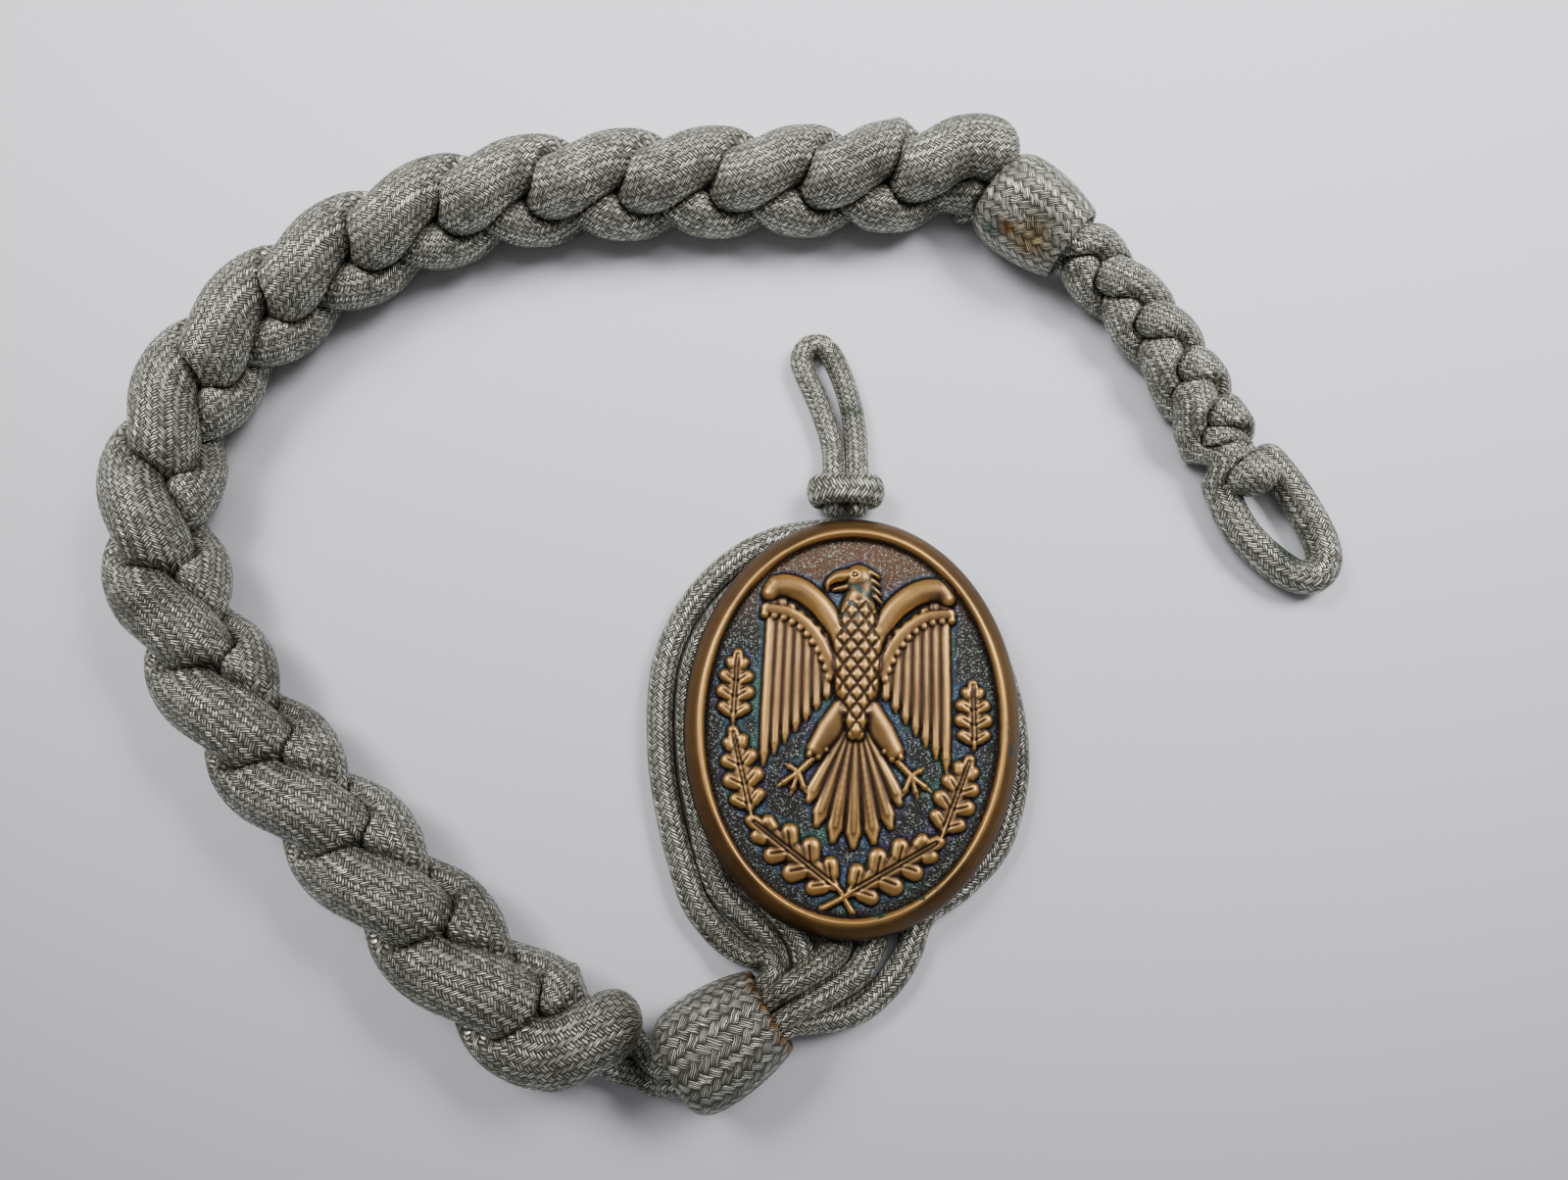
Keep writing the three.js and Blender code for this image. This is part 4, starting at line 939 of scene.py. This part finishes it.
place = add(tree, "ShaderNodeTexCoord").outputs["Object"]
cloud = add(tree, "ShaderNodeTexNoise", {"Vector": place, "Scale": 130.0, "Detail": 4.0}).outputs[0]
fine = add(tree, "ShaderNodeTexNoise", {"Vector": place, "Scale": 900.0, "Detail": 3.0}).outputs[0]
grain = add(tree, "ShaderNodeTexNoise", {"Vector": place, "Scale": 4200.0, "Detail": 1.0}).outputs[0]
raised, rub, corner = reading("raised"), reading("worn"), reading("hollow")
around = reading("halo")
out = reading("radius")
on_rim = between(tree, out, 0.875, 0.91)
metal_part = sums(tree, "MAXIMUM", raised, on_rim)
polish = sums(tree, "MULTIPLY_ADD", cloud, 0.5, sums(tree, "MULTIPLY", rub, 0.9))
metal = blended(tree, between(tree, polish, 0.28, 0.88), linear(BRONZE_DARK), linear(BRONZE_BRIGHT))
# Painted shade on the rim: its outer slope is painted a darker brown, and its outer fall and side nearly black.
slope_shade = sums(tree, "MULTIPLY", between(tree, out, 0.922, 0.95), 0.8)
metal = blended(tree, slope_shade, metal, linear(RIM_SLOPE_SHADE))
outer_edge_shade = sums(tree, "MULTIPLY", between(tree, out, 0.955, 1.0), 0.75)
metal = blended(tree, outer_edge_shade, metal, linear(PATINA_AND_SHADE_BLACK))
stipple = between(tree, grain, 0.56, 0.66)
warm = between(tree, add(tree, "ShaderNodeSeparateXYZ", {0: place}).outputs[1], -0.01, 0.004)
ground = blended(tree, warm, linear(GROUND_GREY), linear(GROUND_WARM))
tint = add(tree, "ShaderNodeTexNoise", {"Vector": place, "Scale": 160.0, "Detail": 2.0}).outputs[0]
lustre = add(tree, "ShaderNodeValToRGB", {"Fac": tint})
stops = lustre.color_ramp.elements
stops[0].position, stops[0].color = 0.36, linear(LUSTRE[0])
stops[1].position, stops[1].color = 0.64, linear(LUSTRE[2])
stops.new(0.5).color = linear(LUSTRE[1])
near_relief = sums(tree, "MULTIPLY", between(tree, around, 0.06, 0.4), 0.55)
ground = blended(tree, near_relief, ground, lustre.outputs["Color"])
speck = blended(tree, 0.5, ground, linear(SPECK))
ground = blended(tree, stipple, ground, speck)
colour = blended(tree, metal_part, ground, metal)
colour = blended(tree, sums(tree, "MULTIPLY", corner, 0.95), colour, linear(PATINA_AND_SHADE_BLACK))
bare = 1.0
VERDIGRIS_SPOTS = [
    ((10.6, -2.0, 7.5), 3.9), ((9.4, -4.2, 7.5), 3.3), ((31.2, -20.5, 7.5), 2.4),
    ((30.6, -23.5, 7.5), 1.8), ((18.5, -43.5, 7.5), 4.5), ((12.6, -44.2, 7.5), 2.4),
]
for middle, radius in VERDIGRIS_SPOTS:
    green = sums(tree, "MULTIPLY", spot(tree, place, middle, radius), between(tree, fine, 0.5, 0.62))
    colour = blended(tree, green, colour, linear(VERDIGRIS))
    bare = sums(tree, "MINIMUM", bare, sums(tree, "SUBTRACT", 1.0, green))
tree.links.new(colour, shader.inputs["Base Color"])
tree.links.new(sums(tree, "MULTIPLY", bare, 0.85), shader.inputs["Metallic"])
rough = sums(tree, "ADD", sums(tree, "MULTIPLY_ADD", metal_part, -0.16, 0.5), sums(tree, "MULTIPLY", fine, 0.1))
tree.links.new(rough, shader.inputs["Roughness"])
pits = sums(tree, "MULTIPLY", grain, sums(tree, "SUBTRACT", 1.0, metal_part))
scratches = sums(tree, "MULTIPLY_ADD", fine, 0.12, pits)
bump = add(tree, "ShaderNodeBump", {"Height": scratches, "Strength": 0.8, "Distance": 0.0002})
tree.links.new(bump.outputs[0], shader.inputs["Normal"])
plaque_mesh.materials.append(bronze)
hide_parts("badge")
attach(badge, "root")


# Table: a pale matt sheet. Two windows, at the upper left and the upper right, light it with a weak
# ceiling between them, so shadows fall inwards from both sides and the table darkens towards the viewer.
TABLE_WHITE = "#dcdde2"
WINDOW_WHITE = "#fdfdff"
ROOM_GREY = "#e9e9ec"
table = bmesh.new()
bmesh.ops.create_grid(table, x_segments=1, y_segments=1, size=1.5)
table_mesh = bpy.data.meshes.new("table")
table.to_mesh(table_mesh)
table.free()
table = bpy.data.objects.new("table", table_mesh)
bpy.context.collection.objects.link(table)
paper, tree, shader = new_material("white_paper", 0.0, 0.7)
shader.inputs["Base Color"].default_value = linear(TABLE_WHITE)
table_mesh.materials.append(paper)


def soft_light(name, place, aim, size, power, spread):
    """A rectangular lamp of a size in metres, whose light leaves it within a spread in degrees."""
    lamp = bpy.data.lights.new(name, "AREA")
    lamp.shape, lamp.size, lamp.size_y = "RECTANGLE", *size
    lamp.energy, lamp.color, lamp.spread = power, linear(WINDOW_WHITE)[:3], math.radians(spread)
    holder = bpy.data.objects.new(name, lamp)
    bpy.context.collection.objects.link(holder)
    holder.location = place
    holder.rotation_euler = (Vector(aim) - Vector(place)).to_track_quat("-Z", "Y").to_euler()


soft_light("left_window", (-0.23, 0.28, 0.32), (-0.05, 0.15, 0), (0.4, 0.3), 0.5, 46)
soft_light("right_window", (0.28, 0.28, 0.32), (0.1, 0.15, 0), (0.4, 0.3), 0.66, 46)
soft_light("ceiling", (0.02, 0.2, 0.5), (0.02, 0.22, 0), (0.6, 0.3), 0.22, 50)
world = bpy.data.worlds.new("room")
bpy.context.scene.world = world
world.use_nodes = True
world.node_tree.nodes["Background"].inputs["Color"].default_value = linear(ROOM_GREY)
world.node_tree.nodes["Background"].inputs["Strength"].default_value = 0.18
